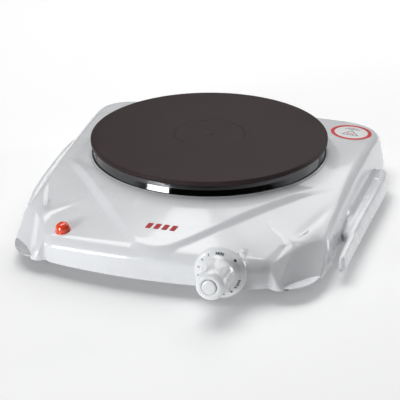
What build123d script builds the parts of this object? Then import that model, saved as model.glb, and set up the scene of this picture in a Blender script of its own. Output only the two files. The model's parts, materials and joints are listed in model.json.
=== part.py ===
from build123d import *
import os
from math import cos, hypot, radians, sin, tan

# Single electric hot plate (185 mm cast-iron plate, 1500 W class) on a low white housing.
# Row frame: +X to the right, +Y to the back, +Z up, origin on the table under the middle
# of the outline. "Hob" coordinates share these directions and start at the plate's axis.

# ---------------------------------------------------------------- driving dimensions, mm
HOB_Y = 35.65             # the plate's axis sits this far behind the middle of the depth
FOOT_HEIGHT = 10.0        # table to the housing's lower rim
PLATE_TOP = 59.0          # table to the cooking surface
PLATE_R = 92.5            # 185 mm plate

WALL = 1.2                # housing wall
DRAFT = 10.0              # lean of the housing's side walls, degrees
FRONT_BOW = 157.5         # hob axis to the middle of the front rim
GROOVE = (80.0, 149.0)    # foot of the groove between the front panel and a corner lobe
LOBE = (98.0, 148.5)      # foot of the corner lobe's outer crease
CORNER = (108.5, 140.5)
SIDE_FRONT = (116.0, 125.0)
SIDE_REAR = (126.5, 85.0)
REAR_CORNER = (122.8, 103.3)
REAR_EDGE = (112.0, 111.0)
SHOULDER_FILLET = 5.0

OPENING_R = 84.5          # hole in the housing under the plate
SEAT_R = 92.0             # recess that takes the spill ring's flange
SEAT_Z = 42.6
CROWN_Z = 45.4            # raised collar round the plate
CROWN_R = 96.5
COLLAR_FOOT_R = 100.5
DECK_Z = 42.0             # deck height at the collar's foot
DECK_SLOPE = 12.0         # degrees, falling away from the collar
TONGUE_RISE = 2.5         # the V-shaped front apron stands this far above the deck

KNOB_X = 51.0
KNOB_Z = 23.6
KNOB_TILT = 7.0           # the knob's axis looks up by this angle, degrees
PAD_Y = -154.2            # front face of the flat pad that carries the control
PAD_SIZE = (32.0, 11.0, 3.0)   # width, height and corner radius of the pad
PAD_DROP = 1.5            # the pad's middle is this far below the spindle
KNOB_GAP = 2.4            # pad to the back of the knob's skirt
SKIRT_R = 18.5
KNOB_LENGTH = 31.0
NOSE_R = 9.9
CAP_R = 5.2
SPINDLE_R = 3.0
SPINDLE_HOLE_R = 3.5
PIN_R = 1.5               # push pin between the spindle and the contact springs
CONTROL_SCREW_X = 11.5
BEZEL_THICK = 1.2
NUB_CLOCK = 45.0          # fixed pointer, degrees clockwise from straight up
NUB_REACH = 22.0

LAMP = (-71.0, -136.0)
BADGE = (0.0, -129.0)
STICKER = (99.5, 76.0)
STICKER_R = 17.0
GLAND_X = -60.0
GLAND_Z = 22.0
CORD_BORE_R = 3.6

HANDLE_REACH = 136.5      # widest point of a side handle
HANDLE_WALL = 2.2
HANDLE_DRAFT = 8.0        # lean of a handle's outer face, degrees
HANDLE_TIP_Y = -105.0      # free front end of a handle, from the hob axis
TIP_EDGE_Y = HOB_Y + HANDLE_TIP_Y + 2
HANDLE_SCREW_Y = (35.0, -30.0)
HANDLE_SCREW_Z = 19.0

POSTS = [(-104, 96), (0, 102), (104, 96), (-93, -98), (0, -141), (93, -98)]
FEET = {
    "foot_front_left": (-88, -122),
    "foot_front_right": (88, -122),
    "foot_rear_left": (-100, 70),
    "foot_rear_right": (100, 70),
}
BASE_Z = 11.0             # underside of the base plate, 1 mm up inside the rim
BASE_THICK = 1.0

SPIGOT_R = 88.6           # the casting's turned spigot inside the spill ring
RIM_LOW = 54.5            # underside of the plate's overhanging rim
FLANGE_Z = 45.0           # top of the spill ring's flange, under the spigot
CASTING_LOW = 42.0
GROOVE_IN = 22.0
GROOVE_OUT = 79.0
GROOVE_TOP = 52.0
COVER_Z = 40.9
BRIDGE_TOP = 30.0
BRIDGE_THICK = 2.0
SHEET = 0.8
PINS = [(-10, 45), (0, 45), (10, 45)]

LOW = (Align.CENTER, Align.CENTER, Align.MIN)


# ---------------------------------------------------------------- frames and small helpers
def level(z, x=0.0, y=0.0):
    """A horizontal plane at height z whose origin is at (x, y) from the hob axis."""
    return Plane(origin=(x, HOB_Y + y, z))


def upright(x=0.0, y=0.0):
    """A plane seen from the front: local x to the right, local y up, normal to the front."""
    return Plane(origin=(x, HOB_Y + y, 0), x_dir=(1, 0, 0), z_dir=(0, -1, 0))


def control(depth=0.0):
    """Plane across the control's axis; depth is measured inwards from the pad's face."""
    out = Vector(0, -cos(radians(KNOB_TILT)), sin(radians(KNOB_TILT)))
    origin = Vector(KNOB_X, HOB_Y + PAD_Y, KNOB_Z) - out * depth
    return Plane(origin=origin, x_dir=(1, 0, 0), z_dir=out)


def control_section(depth=0.0):
    """Plane through the control's axis: local x is the radius, local y runs outwards."""
    face = control(depth)
    return Plane(origin=face.origin, x_dir=face.x_dir, z_dir=-face.y_dir)


def deck_height(x, y, rise=0.0):
    """Height of the deck's cone at a point given from the hob axis."""
    return DECK_Z + rise - (hypot(x, y) - COLLAR_FOOT_R) * tan(radians(DECK_SLOPE))


def side_x(y, z=FOOT_HEIGHT):
    """Distance of the side wall's outer face from the middle."""
    along = (y + SIDE_FRONT[1]) / (SIDE_REAR[1] + SIDE_FRONT[1])
    at_rim = SIDE_FRONT[0] + along * (SIDE_REAR[0] - SIDE_FRONT[0])
    return at_rim - (z - FOOT_HEIGHT) * tan(radians(DRAFT))


def save(part, name):
    """Label a finished piece and write it to its own file."""
    part.label = name
    export_step(part, f"parts/{name}.step")


# ---------------------------------------------------------------- housing envelope
def rim_outline():
    """The housing's outline at its lower rim."""
    with BuildLine() as rim:
        ThreePointArc((-GROOVE[0], -GROOVE[1]), (0, -FRONT_BOW), (GROOVE[0], -GROOVE[1]))
        for side in (-1, 1):
            Line((side * GROOVE[0], -GROOVE[1]), (side * LOBE[0], -LOBE[1]))
            ThreePointArc(
                (side * LOBE[0], -LOBE[1]),
                (side * CORNER[0], -CORNER[1]),
                (side * SIDE_FRONT[0], -SIDE_FRONT[1]),
            )
            Line((side * SIDE_FRONT[0], -SIDE_FRONT[1]), (side * SIDE_REAR[0], SIDE_REAR[1]))
            ThreePointArc(
                (side * SIDE_REAR[0], SIDE_REAR[1]),
                (side * REAR_CORNER[0], REAR_CORNER[1]),
                (side * REAR_EDGE[0], REAR_EDGE[1]),
            )
        Line((-REAR_EDGE[0], REAR_EDGE[1]), (REAR_EDGE[0], REAR_EDGE[1]))
    return rim.line


def deck_profile(inset, rise):
    """Half section of everything under the deck and collar."""
    reach = 200.0
    drop = (reach - COLLAR_FOOT_R) * tan(radians(DECK_SLOPE))
    with BuildLine() as profile:
        Polyline(
            (0, 0),
            (0, SEAT_Z - inset),
            (SEAT_R + inset, SEAT_Z - inset),
            (SEAT_R + inset, CROWN_Z - inset),
            (CROWN_R - inset * 0.5, CROWN_Z - inset),
            (COLLAR_FOOT_R - inset, DECK_Z - inset + rise),
            (reach, DECK_Z - inset + rise - drop),
            (reach, 0),
            close=True,
        )
    return profile.line


def walls(inset):
    """The drafted block of the housing, before the deck is cut."""
    with BuildPart() as block:
        with BuildSketch(level(FOOT_HEIGHT)):
            add(rim_outline())
            make_face()
            if inset:
                offset(amount=-inset)
        extrude(amount=40, taper=DRAFT)
    return block.part


def under_deck(inset, rise=0.0):
    """Everything below the deck surface, as a turned solid."""
    with BuildPart() as turned:
        with BuildSketch(upright()):
            add(deck_profile(inset, rise))
            make_face()
        revolve(axis=Axis((0, HOB_Y, 0), (0, 0, 1)))
    return turned.part


def control_pad(inset):
    """The flat pad on the front wall that carries the control."""
    width, height, corner = PAD_SIZE
    with BuildPart() as pad:
        with BuildSketch(control(inset)):
            with Locations((0, -PAD_DROP)):
                RectangleRounded(width - 2 * inset, height - 2 * inset, corner - inset)
        extrude(amount=-14)
        add(under_deck(inset + 1), mode=Mode.INTERSECT)
    return pad.part


def tongue(inset):
    """The raised V-shaped apron between the collar and the front rim."""
    with BuildPart() as apron:
        with BuildSketch(level(FOOT_HEIGHT)):
            with BuildLine():
                left = Line((-88 + inset, -40), (-12 + inset, -150))
                right = Line((88 - inset, -40), (12 - inset, -150))
                ThreePointArc(left @ 1, (0, -165), right @ 1)
                Line(left @ 0, right @ 0)
            make_face()
        extrude(amount=40)
        add(walls(inset), mode=Mode.INTERSECT)
        add(under_deck(inset, TONGUE_RISE), mode=Mode.INTERSECT)
        with Locations((0, HOB_Y, 0)):
            Cylinder(COLLAR_FOOT_R - inset - 2, 200, mode=Mode.SUBTRACT)
    return apron.part


def envelope(inset):
    """The housing's outer form, or the same form drawn in by inset."""
    with BuildPart() as body:
        add(walls(inset))
        add(under_deck(inset), mode=Mode.INTERSECT)
        rim = body.edges().filter_by(lambda edge: edge.bounding_box().min.Z > 20)
        outer = rim.filter_by(lambda edge: hypot(edge.center().X, edge.center().Y - HOB_Y) > 106)
        fillet(outer, SHOULDER_FILLET - inset)
        add(control_pad(inset))
        add(tongue(inset))
        for side in (-1, 1):
            start = Vector(side * 104, HOB_Y - 88, 39.5)
            end = Vector(side * 111, HOB_Y - 152, 26)
            with Locations(Plane(origin=start, z_dir=end - start).location):
                Cone(4.5 + inset, 16 + inset, (end - start).length, align=LOW, mode=Mode.SUBTRACT)
    return body.part


# ---------------------------------------------------------------- housing pieces
def make_top_shell():
    """The one-piece white housing with its posts and holes."""
    with BuildPart() as posts:
        for x, y in POSTS:
            with Locations((x, HOB_Y + y, BASE_Z + BASE_THICK)):
                Cylinder(4, 40, align=LOW)
        add(CAVITY, mode=Mode.INTERSECT)
    with BuildPart() as top_shell:
        add(OUTER)
        add(CAVITY, mode=Mode.SUBTRACT)
        add(posts.part)
        with Locations((0, HOB_Y, FOOT_HEIGHT)):
            Cylinder(OPENING_R, 60, align=LOW, mode=Mode.SUBTRACT)
        with BuildSketch(control(-5)):
            Circle(SPINDLE_HOLE_R)
            with Locations((-CONTROL_SCREW_X, -PAD_DROP), (CONTROL_SCREW_X, -PAD_DROP)):
                Circle(1.6)
        extrude(amount=-12, mode=Mode.SUBTRACT)
        with BuildSketch(lamp_plane(6)):
            Circle(4.2)
        extrude(amount=-12, mode=Mode.SUBTRACT)
        with BuildSketch(upright(GLAND_X, 120)):
            with Locations((0, GLAND_Z)):
                Circle(6.4)
        extrude(amount=20, mode=Mode.SUBTRACT)
        for side in (-1, 1):
            for y in HANDLE_SCREW_Y:
                with BuildSketch(handle_screw_plane(side, y)):
                    Circle(1.8)
                extrude(amount=6, both=True, mode=Mode.SUBTRACT)
        for x, y in POSTS:
            with Locations((x, HOB_Y + y, BASE_Z)):
                Cylinder(1.65, 11.5, align=LOW, mode=Mode.SUBTRACT)
    save(top_shell.part, "top_shell")


def lamp_plane(rise=0.0):
    """Plane on the deck at the pilot lamp, its normal square to the deck."""
    x, y = LAMP
    slope = tan(radians(DECK_SLOPE))
    out = Vector(slope * x / hypot(x, y), slope * y / hypot(x, y), 1).normalized()
    return Plane(origin=Vector(x, HOB_Y + y, deck_height(x, y)) + out * rise, z_dir=out)


def handle_screw_plane(side, y):
    """Upright plane on the side wall's outer face at a handle screw, normal outwards."""
    x = side * side_x(y, HANDLE_SCREW_Z)
    return Plane(origin=(x, HOB_Y + y, HANDLE_SCREW_Z), x_dir=(0, 1, 0), z_dir=(side, 0, 0))


def handle_outline():
    """The right-hand handle seen from above: a wing whose front end is a free bar."""
    with BuildLine() as outline:
        inner = Polyline((121, 74), (114, 74), (114, -58))
        gap_end = ThreePointArc(inner @ 1, (120.2, -60), (124.0, -66))
        tip = Polyline(gap_end @ 1, (123.7, HANDLE_TIP_Y), (129.4, HANDLE_TIP_Y))
        side = ThreePointArc(tip @ 1, (134.2, -20), (HANDLE_REACH, 50))
        ThreePointArc(side @ 1, (133.5, 67), inner @ 0)
    return outline.line


def plain_outline():
    """The other handle, drawn on the same side: its wing dies into the front corner."""
    with BuildLine() as outline:
        inner = Polyline((121, 74), (114, 74), (114, -97), (118.6, -97), (126.5, -74))
        side = ThreePointArc(inner @ 1, (134.0, -5), (HANDLE_REACH, 50))
        ThreePointArc(side @ 1, (133.5, 67), inner @ 0)
    return outline.line


def hollow_outline():
    """The space under the handle's wing, clear of its thin front bar."""
    with BuildLine() as outline:
        inner = Polyline((114, 60), (114, -52), (130.4, -52))
        side = ThreePointArc(inner @ 1, (132.9, 0), (HANDLE_REACH - HANDLE_WALL, 48))
        Polyline(side @ 1, (131.6, 60), inner @ 0)
    return outline.line


def wing(outline, inset):
    """A drafted block over an outline, cut to the wing's slope or to a lower, parallel one."""
    with BuildPart() as block:
        with BuildSketch(level(FOOT_HEIGHT)):
            with BuildLine():
                add(outline)
            make_face()
        extrude(amount=25, taper=HANDLE_DRAFT)
        with BuildSketch(upright(0, 90)):
            with BuildLine():
                Polyline(
                    (100, 0),
                    (100, 31 - inset),
                    (117, 29 - inset),
                    (127, 20.5 - inset),
                    (150, 21 - inset),
                    (150, 0),
                    close=True,
                )
            make_face()
        extrude(amount=260, mode=Mode.INTERSECT)
    return block.part


def handle(outline):
    """One handle, hollow below, with blind holes for its two screws."""
    with BuildPart() as hollow:
        add(wing(hollow_outline(), HANDLE_WALL))
        add(walls(-HANDLE_WALL), mode=Mode.SUBTRACT)
        for y in HANDLE_SCREW_Y:
            with BuildSketch(handle_screw_plane(1, y)):
                Circle(3.6)
            extrude(amount=9, mode=Mode.SUBTRACT)
    with BuildPart() as grip:
        add(wing(outline, 0))
        tip_edges = grip.edges().filter_by(lambda edge: edge.center().Y < TIP_EDGE_Y)
        if tip_edges:
            fillet(tip_edges.filter_by(lambda edge: edge.bounding_box().size.Z > 5), 1.2)
        add(hollow.part, mode=Mode.SUBTRACT)
        add(walls(0), mode=Mode.SUBTRACT)
        for y in HANDLE_SCREW_Y:
            with BuildSketch(handle_screw_plane(1, y)):
                Circle(1.65)
            extrude(amount=10.5, both=True, mode=Mode.SUBTRACT)
    return grip.part


def make_handles():
    """Two wing handles screwed on from inside the housing."""
    save(handle(handle_outline()), "right_handle")
    with BuildPart() as left_handle:
        add(handle(plain_outline()))
        mirror(about=Plane.YZ, mode=Mode.REPLACE)
    save(left_handle.part, "left_handle")


def make_handle_screws():
    """Four pan-head screws, two per handle, driven outwards through the side walls."""
    with BuildPart() as screws:
        for side in (-1, 1):
            for y in HANDLE_SCREW_Y:
                face = handle_screw_plane(side, y)
                with BuildSketch(face.offset(-WALL - 3.0)):
                    Circle(3.2)
                extrude(amount=2.0)
                with BuildSketch(face.offset(-WALL - 3.0)):
                    Circle(1.6)
                extrude(amount=13.5)
                with BuildSketch(face.offset(-WALL - 3.0)):
                    Rectangle(4.0, 0.8)
                    Rectangle(0.8, 4.0)
                extrude(amount=1.0, mode=Mode.SUBTRACT)
    save(screws.part, "handle_screws")


def make_base():
    """Sheet-steel base with vents, and its six screws."""
    with BuildPart() as base_plate:
        with BuildSketch(level(BASE_Z)):
            add(rim_outline())
            make_face()
            offset(amount=-2.2, kind=Kind.INTERSECTION)
            with Locations((0, 42), (0, -42)):
                with GridLocations(14, 0, 9, 1):
                    SlotOverall(46, 3.2, rotation=90, mode=Mode.SUBTRACT)
            with Locations(*[(x, y) for x, y in POSTS]):
                Circle(1.8, mode=Mode.SUBTRACT)
            with Locations(*[(x, y) for x, y in FEET.values()]):
                Circle(3.0, mode=Mode.SUBTRACT)
        extrude(amount=BASE_THICK)
    save(base_plate.part, "base_plate")
    with BuildPart() as base_screws:
        for x, y in POSTS:
            with BuildSketch(level(BASE_Z - 2.2, x, y)):
                Circle(3.3)
                Rectangle(4.0, 0.9, mode=Mode.SUBTRACT)
                Rectangle(0.9, 4.0, mode=Mode.SUBTRACT)
            extrude(amount=1.0)
            with BuildSketch(level(BASE_Z - 1.2, x, y)):
                Circle(3.5)
            extrude(amount=1.2)
            with BuildSketch(level(BASE_Z, x, y)):
                Circle(1.6)
            extrude(amount=10)
    save(base_screws.part, "base_screws")


def make_feet():
    """Four rubber feet, each with a barbed stem snapped through the base plate."""
    for name, (x, y) in FEET.items():
        with BuildPart() as foot:
            with Locations((x, HOB_Y + y, 0)):
                Cone(7.5, 9.0, BASE_Z, align=LOW)
                Cylinder(4.5, 1.2, align=LOW, mode=Mode.SUBTRACT)
            with Locations((x, HOB_Y + y, BASE_Z)):
                Cylinder(2.9, BASE_THICK + 0.1, align=LOW)
            with Locations((x, HOB_Y + y, BASE_Z + BASE_THICK + 0.1)):
                Cone(3.8, 2.2, 3.4, align=LOW)
            foot_rim = foot.edges().filter_by(GeomType.CIRCLE).group_by(Axis.Z)[0]
            fillet(foot_rim.filter_by(lambda edge: edge.radius > 6), 0.8)
        save(foot.part, name)


def on_deck(name, rise, thick, sketch_shape):
    """A thin film that follows the deck: sketch_shape draws its outline on the plan."""
    with BuildPart() as film:
        with BuildSketch(level(20)):
            add(sketch_shape)
        extrude(amount=30)
        add(under_deck(-thick, rise), mode=Mode.INTERSECT)
        add(under_deck(0, rise), mode=Mode.SUBTRACT)
    save(film.part, name)


def make_trim():
    """A round sticker ring on the deck and a plain raised badge on the apron."""
    with BuildSketch(Plane.XY) as disc:
        with Locations(STICKER):
            Circle(STICKER_R)
    on_deck("caution_sticker", 0.0, 0.25, disc.sketch)
    with BuildSketch(Plane.XY) as bar:
        with Locations(BADGE):
            RectangleRounded(24, 6.4, 2.4)
    on_deck("front_badge", TONGUE_RISE, 0.5, bar.sketch)


# ---------------------------------------------------------------- plate group
def ring(points, name):
    """A turned piece about the hob axis from (radius, height) points."""
    with BuildPart() as turned:
        with BuildSketch(upright()):
            with BuildLine():
                Polyline(*points, close=True)
            make_face()
        revolve(axis=Axis((0, HOB_Y, 0), (0, 0, 1)))
    save(turned.part, name)


def make_casting():
    """Iron plate with a shallow centre recess and a ring groove for the elements."""
    with BuildPart() as hotplate_casting:
        with BuildSketch(upright()):
            with BuildLine():
                Polyline(
                    (0, PLATE_TOP - 0.6),
                    (2.0, PLATE_TOP - 0.25),
                    (27.2, PLATE_TOP - 0.25),
                    (27.9, PLATE_TOP),
                    (PLATE_R - 1.0, PLATE_TOP),
                    (PLATE_R, PLATE_TOP - 1.0),
                    (PLATE_R, RIM_LOW + 0.5),
                    (PLATE_R - 0.5, RIM_LOW),
                    (SPIGOT_R, RIM_LOW),
                    (SPIGOT_R, FLANGE_Z),
                    (82, FLANGE_Z),
                    (82, CASTING_LOW),
                    (GROOVE_OUT, CASTING_LOW),
                    (GROOVE_OUT, GROOVE_TOP),
                    (GROOVE_IN, GROOVE_TOP),
                    (GROOVE_IN, CASTING_LOW),
                    (0, CASTING_LOW),
                    close=True,
                )
            make_face()
        revolve(axis=Axis((0, HOB_Y, 0), (0, 0, 1)))
        with Locations((0, HOB_Y, CASTING_LOW)):
            Cylinder(3.05, 10, align=LOW, mode=Mode.SUBTRACT)
    save(hotplate_casting.part, "hotplate_casting")


def make_elements():
    """Inner and outer heating elements bedded in insulating cement."""
    middle = 47.5
    rings = {"heating_element_inner": 36.0, "heating_element_outer": 62.0}
    for name, radius in rings.items():
        with BuildPart() as element:
            with Locations((0, HOB_Y, middle)):
                Torus(radius, 3.0)
        save(element.part, name)
    with BuildPart() as insulating_cement:
        with Locations((0, HOB_Y, CASTING_LOW)):
            Cylinder(GROOVE_OUT - 0.1, GROOVE_TOP - CASTING_LOW, align=LOW)
            Cylinder(GROOVE_IN + 0.1, GROOVE_TOP - CASTING_LOW, align=LOW, mode=Mode.SUBTRACT)
        for radius in rings.values():
            with Locations((0, HOB_Y, middle)):
                Torus(radius, 3.1, mode=Mode.SUBTRACT)
        for x, y in PINS:
            with Locations((x, HOB_Y + y, CASTING_LOW)):
                Cylinder(1.15, 6, align=LOW, mode=Mode.SUBTRACT)
    save(insulating_cement.part, "insulating_cement")


def make_plate_hardware():
    """Bottom cover, stud, bridge, shield, washer, nut, terminal block and cut-out."""
    with BuildPart() as plate_bottom_cover:
        with BuildSketch(level(COVER_Z)):
            Circle(81.5)
            Circle(3.3, mode=Mode.SUBTRACT)
            with Locations(*PINS):
                Circle(2.4, mode=Mode.SUBTRACT)
        extrude(amount=CASTING_LOW - COVER_Z)
    save(plate_bottom_cover.part, "plate_bottom_cover")

    with BuildPart() as centre_stud:
        with Locations((0, HOB_Y, 17)):
            Cylinder(3.0, 34, align=LOW)
        chamfer(centre_stud.edges().filter_by(GeomType.CIRCLE), 0.4)
    save(centre_stud.part, "centre_stud")

    low = BRIDGE_TOP - BRIDGE_THICK
    high = SEAT_Z - WALL
    with BuildPart() as mounting_bridge:
        with BuildSketch(upright(0, 12)):
            with BuildLine():
                Polyline(
                    (-90.8, high),
                    (-85.5, high),
                    (-68, BRIDGE_TOP),
                    (68, BRIDGE_TOP),
                    (85.5, high),
                    (90.8, high),
                    (90.8, high - BRIDGE_THICK),
                    (86.2, high - BRIDGE_THICK),
                    (68.7, low),
                    (-68.7, low),
                    (-86.2, high - BRIDGE_THICK),
                    (-90.8, high - BRIDGE_THICK),
                    close=True,
                )
            make_face()
        extrude(amount=24)
        with Locations((0, HOB_Y, low - 1)):
            Cylinder(3.3, 5, align=LOW, mode=Mode.SUBTRACT)
    save(mounting_bridge.part, "mounting_bridge")

    with BuildPart() as heat_shield:
        with BuildSketch(level(low - SHEET)):
            Circle(66)
            Circle(3.3, mode=Mode.SUBTRACT)
            with Locations((0, 45)):
                RectangleRounded(44, 24, 3, mode=Mode.SUBTRACT)
        extrude(amount=SHEET)
    save(heat_shield.part, "heat_shield")

    with BuildPart() as bridge_washer:
        with BuildSketch(level(low - SHEET - 1.5)):
            Circle(9)
            Circle(3.3, mode=Mode.SUBTRACT)
        extrude(amount=1.5)
    save(bridge_washer.part, "bridge_washer")

    with BuildPart() as bridge_nut:
        with BuildSketch(level(low - SHEET - 6.5)):
            RegularPolygon(5.0, 6, major_radius=False)
            Circle(3.05, mode=Mode.SUBTRACT)
        extrude(amount=5)
    save(bridge_nut.part, "bridge_nut")

    with BuildPart() as plate_terminal_block:
        with BuildSketch(level(COVER_Z - 8, 0, 45)):
            RectangleRounded(32, 14, 2)
        extrude(amount=8)
        for x, y in PINS:
            with Locations((x, HOB_Y + y, COVER_Z - 8)):
                Cylinder(1.15, 8, align=LOW, mode=Mode.SUBTRACT)
    save(plate_terminal_block.part, "plate_terminal_block")

    with BuildPart() as plate_terminals:
        for x, y in PINS:
            with Locations((x, HOB_Y + y, COVER_Z - 13)):
                Cylinder(1.0, 19, align=LOW)
    save(plate_terminals.part, "plate_terminals")

    with BuildPart() as thermal_cutout:
        with BuildSketch(level(COVER_Z - 5.5, -40, -35)):
            Circle(8)
        extrude(amount=5.5)
        with BuildSketch(level(COVER_Z - 5.5, -40, -35)):
            with Locations((-9, 0), (9, 0)):
                Rectangle(8, 5)
        extrude(amount=0.8)
    save(thermal_cutout.part, "thermal_cutout")


def make_spill_ring():
    """Chromed ring between plate and collar, on its heat-resistant gasket."""
    ring(
        [
            (83.0, FLANGE_Z - SHEET),
            (91.7, FLANGE_Z - SHEET),
            (91.7, FLANGE_Z),
            (89.5, FLANGE_Z),
            (89.5, RIM_LOW),
            (88.7, RIM_LOW),
            (88.7, FLANGE_Z),
            (83.0, FLANGE_Z),
        ],
        "spill_ring",
    )
    low = FLANGE_Z - SHEET
    ring([(84.7, SEAT_Z), (91.5, SEAT_Z), (91.5, low), (84.7, low)], "ring_gasket")


# ---------------------------------------------------------------- control
def disc_on(depth, radius, thick, hole=0.0):
    """A disc or ring across the control's axis, from depth outwards by thick."""
    with BuildPart() as disc:
        with BuildSketch(control(depth)):
            Circle(radius)
            if hole:
                Circle(hole, mode=Mode.SUBTRACT)
        extrude(amount=thick)
    return disc.part


def box_on(x_low, x_high, y_low, y_high, deep, shallow):
    """A block in the control's frame, between two depths."""
    with BuildPart() as block:
        with BuildSketch(control(deep)):
            with Locations(((x_low + x_high) / 2, (y_low + y_high) / 2)):
                Rectangle(x_high - x_low, y_high - y_low)
        extrude(amount=deep - shallow)
    return block.part


def make_knob():
    """Skirted knob, flared to a round nose, hollow behind, with a button cap."""
    back = -KNOB_GAP
    section = control_section(back)
    axis = Axis(section.origin, section.y_dir)
    with BuildPart() as knob:
        with BuildSketch(section):
            with BuildLine():
                skirt = Polyline(
                    (0, 0), (SKIRT_R - 0.8, 0), (SKIRT_R, 0.8), (SKIRT_R, 1.9), (17.4, 2.7)
                )
                flare = ThreePointArc(skirt @ 1, (12.9, 6.2), (10.9, 12.5))
                nose = Polyline(flare @ 1, (NOSE_R, KNOB_LENGTH - 1.6))
                tip = ThreePointArc(
                    nose @ 1,
                    (NOSE_R - 0.5, KNOB_LENGTH - 0.5),
                    (NOSE_R - 1.6, KNOB_LENGTH),
                )
                Polyline(
                    tip @ 1,
                    (CAP_R + 0.1, KNOB_LENGTH),
                    (CAP_R + 0.1, KNOB_LENGTH - 1.2),
                    (0, KNOB_LENGTH - 1.2),
                    (0, 0),
                )
            make_face()
        revolve(axis=axis)
        with BuildSketch(section):
            with BuildLine():
                Polyline(
                    (5.4, -1),
                    (15.2, -1),
                    (15.2, 1.2),
                    (10.6, 5.5),
                    (8.9, 12),
                    (8.0, KNOB_LENGTH - 4),
                    (5.4, KNOB_LENGTH - 4),
                    close=True,
                )
            make_face()
        revolve(axis=axis, mode=Mode.SUBTRACT)
        with BuildSketch(control(back)):
            Circle(5.4)
        extrude(amount=1.6, mode=Mode.SUBTRACT)
        with BuildSketch(control(back)):
            Circle(SPINDLE_R + 0.05)
        extrude(amount=17, mode=Mode.SUBTRACT)
    save(knob.part, "knob")

    with BuildPart() as knob_cap:
        add(disc_on(-KNOB_GAP - KNOB_LENGTH + 1.2, CAP_R, 2.5))
        front_edge = knob_cap.edges().sort_by(Axis(section.origin, section.y_dir))[-1]
        fillet(front_edge, 0.9)
    save(knob_cap.part, "knob_cap")

    with BuildPart() as thermostat_spindle:
        add(disc_on(11, SPINDLE_R, 11 + KNOB_GAP + 16))
        add(box_on(1.7, 4, -4, 4, -KNOB_GAP - 5, -KNOB_GAP - 17), mode=Mode.SUBTRACT)
        add(disc_on(10.8, 3.9, 1.5))
    save(thermostat_spindle.part, "thermostat_spindle")

    with BuildPart() as knob_spring_clip:
        with BuildSketch(control(-KNOB_GAP - 5.2)):
            Circle(SPINDLE_R)
            with Locations((-0.9, 0)):
                Rectangle(5.3, 8, mode=Mode.SUBTRACT)
        extrude(amount=10.6)
    save(knob_spring_clip.part, "knob_spring_clip")


def make_bezel():
    """Fixed plate behind the knob with the pointer nub that stands beside the skirt."""
    across = sin(radians(NUB_CLOCK))
    upward = cos(radians(NUB_CLOCK))
    width, height, corner = PAD_SIZE
    screws = [(-CONTROL_SCREW_X, -PAD_DROP), (CONTROL_SCREW_X, -PAD_DROP)]
    with BuildPart() as knob_bezel:
        with BuildSketch(control(0)):
            with Locations((0, -PAD_DROP)):
                RectangleRounded(width - 1, height - 0.5, corner)
            with Locations((across * 14, upward * 14)):
                Rectangle(16, 4.6, rotation=90 - NUB_CLOCK)
            Circle(SPINDLE_HOLE_R, mode=Mode.SUBTRACT)
            with Locations(*screws):
                Circle(1.6, mode=Mode.SUBTRACT)
        extrude(amount=BEZEL_THICK)
        with BuildSketch(control(0)):
            with Locations((across * NUB_REACH, upward * NUB_REACH)):
                Circle(2.9)
        extrude(amount=6.4)
        nub_edges = knob_bezel.edges().filter_by(GeomType.CIRCLE)
        fillet(nub_edges.sort_by(Axis(control().origin, control().z_dir))[-1], 2.2)
        add(walls(0), mode=Mode.SUBTRACT)
    save(knob_bezel.part, "knob_bezel")

    with BuildPart() as control_screws:
        with BuildSketch(control(-BEZEL_THICK)):
            with Locations(*screws):
                Circle(2.8)
        extrude(amount=1.0)
        with BuildSketch(control(-BEZEL_THICK)):
            with Locations(*screws):
                Circle(1.45)
        extrude(amount=-5.4)
        with BuildSketch(control(-BEZEL_THICK - 1.0)):
            with Locations(*screws):
                Rectangle(3.6, 0.7)
                Rectangle(0.7, 3.6)
        extrude(amount=-0.6, mode=Mode.SUBTRACT)
    save(control_screws.part, "control_screws")


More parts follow.
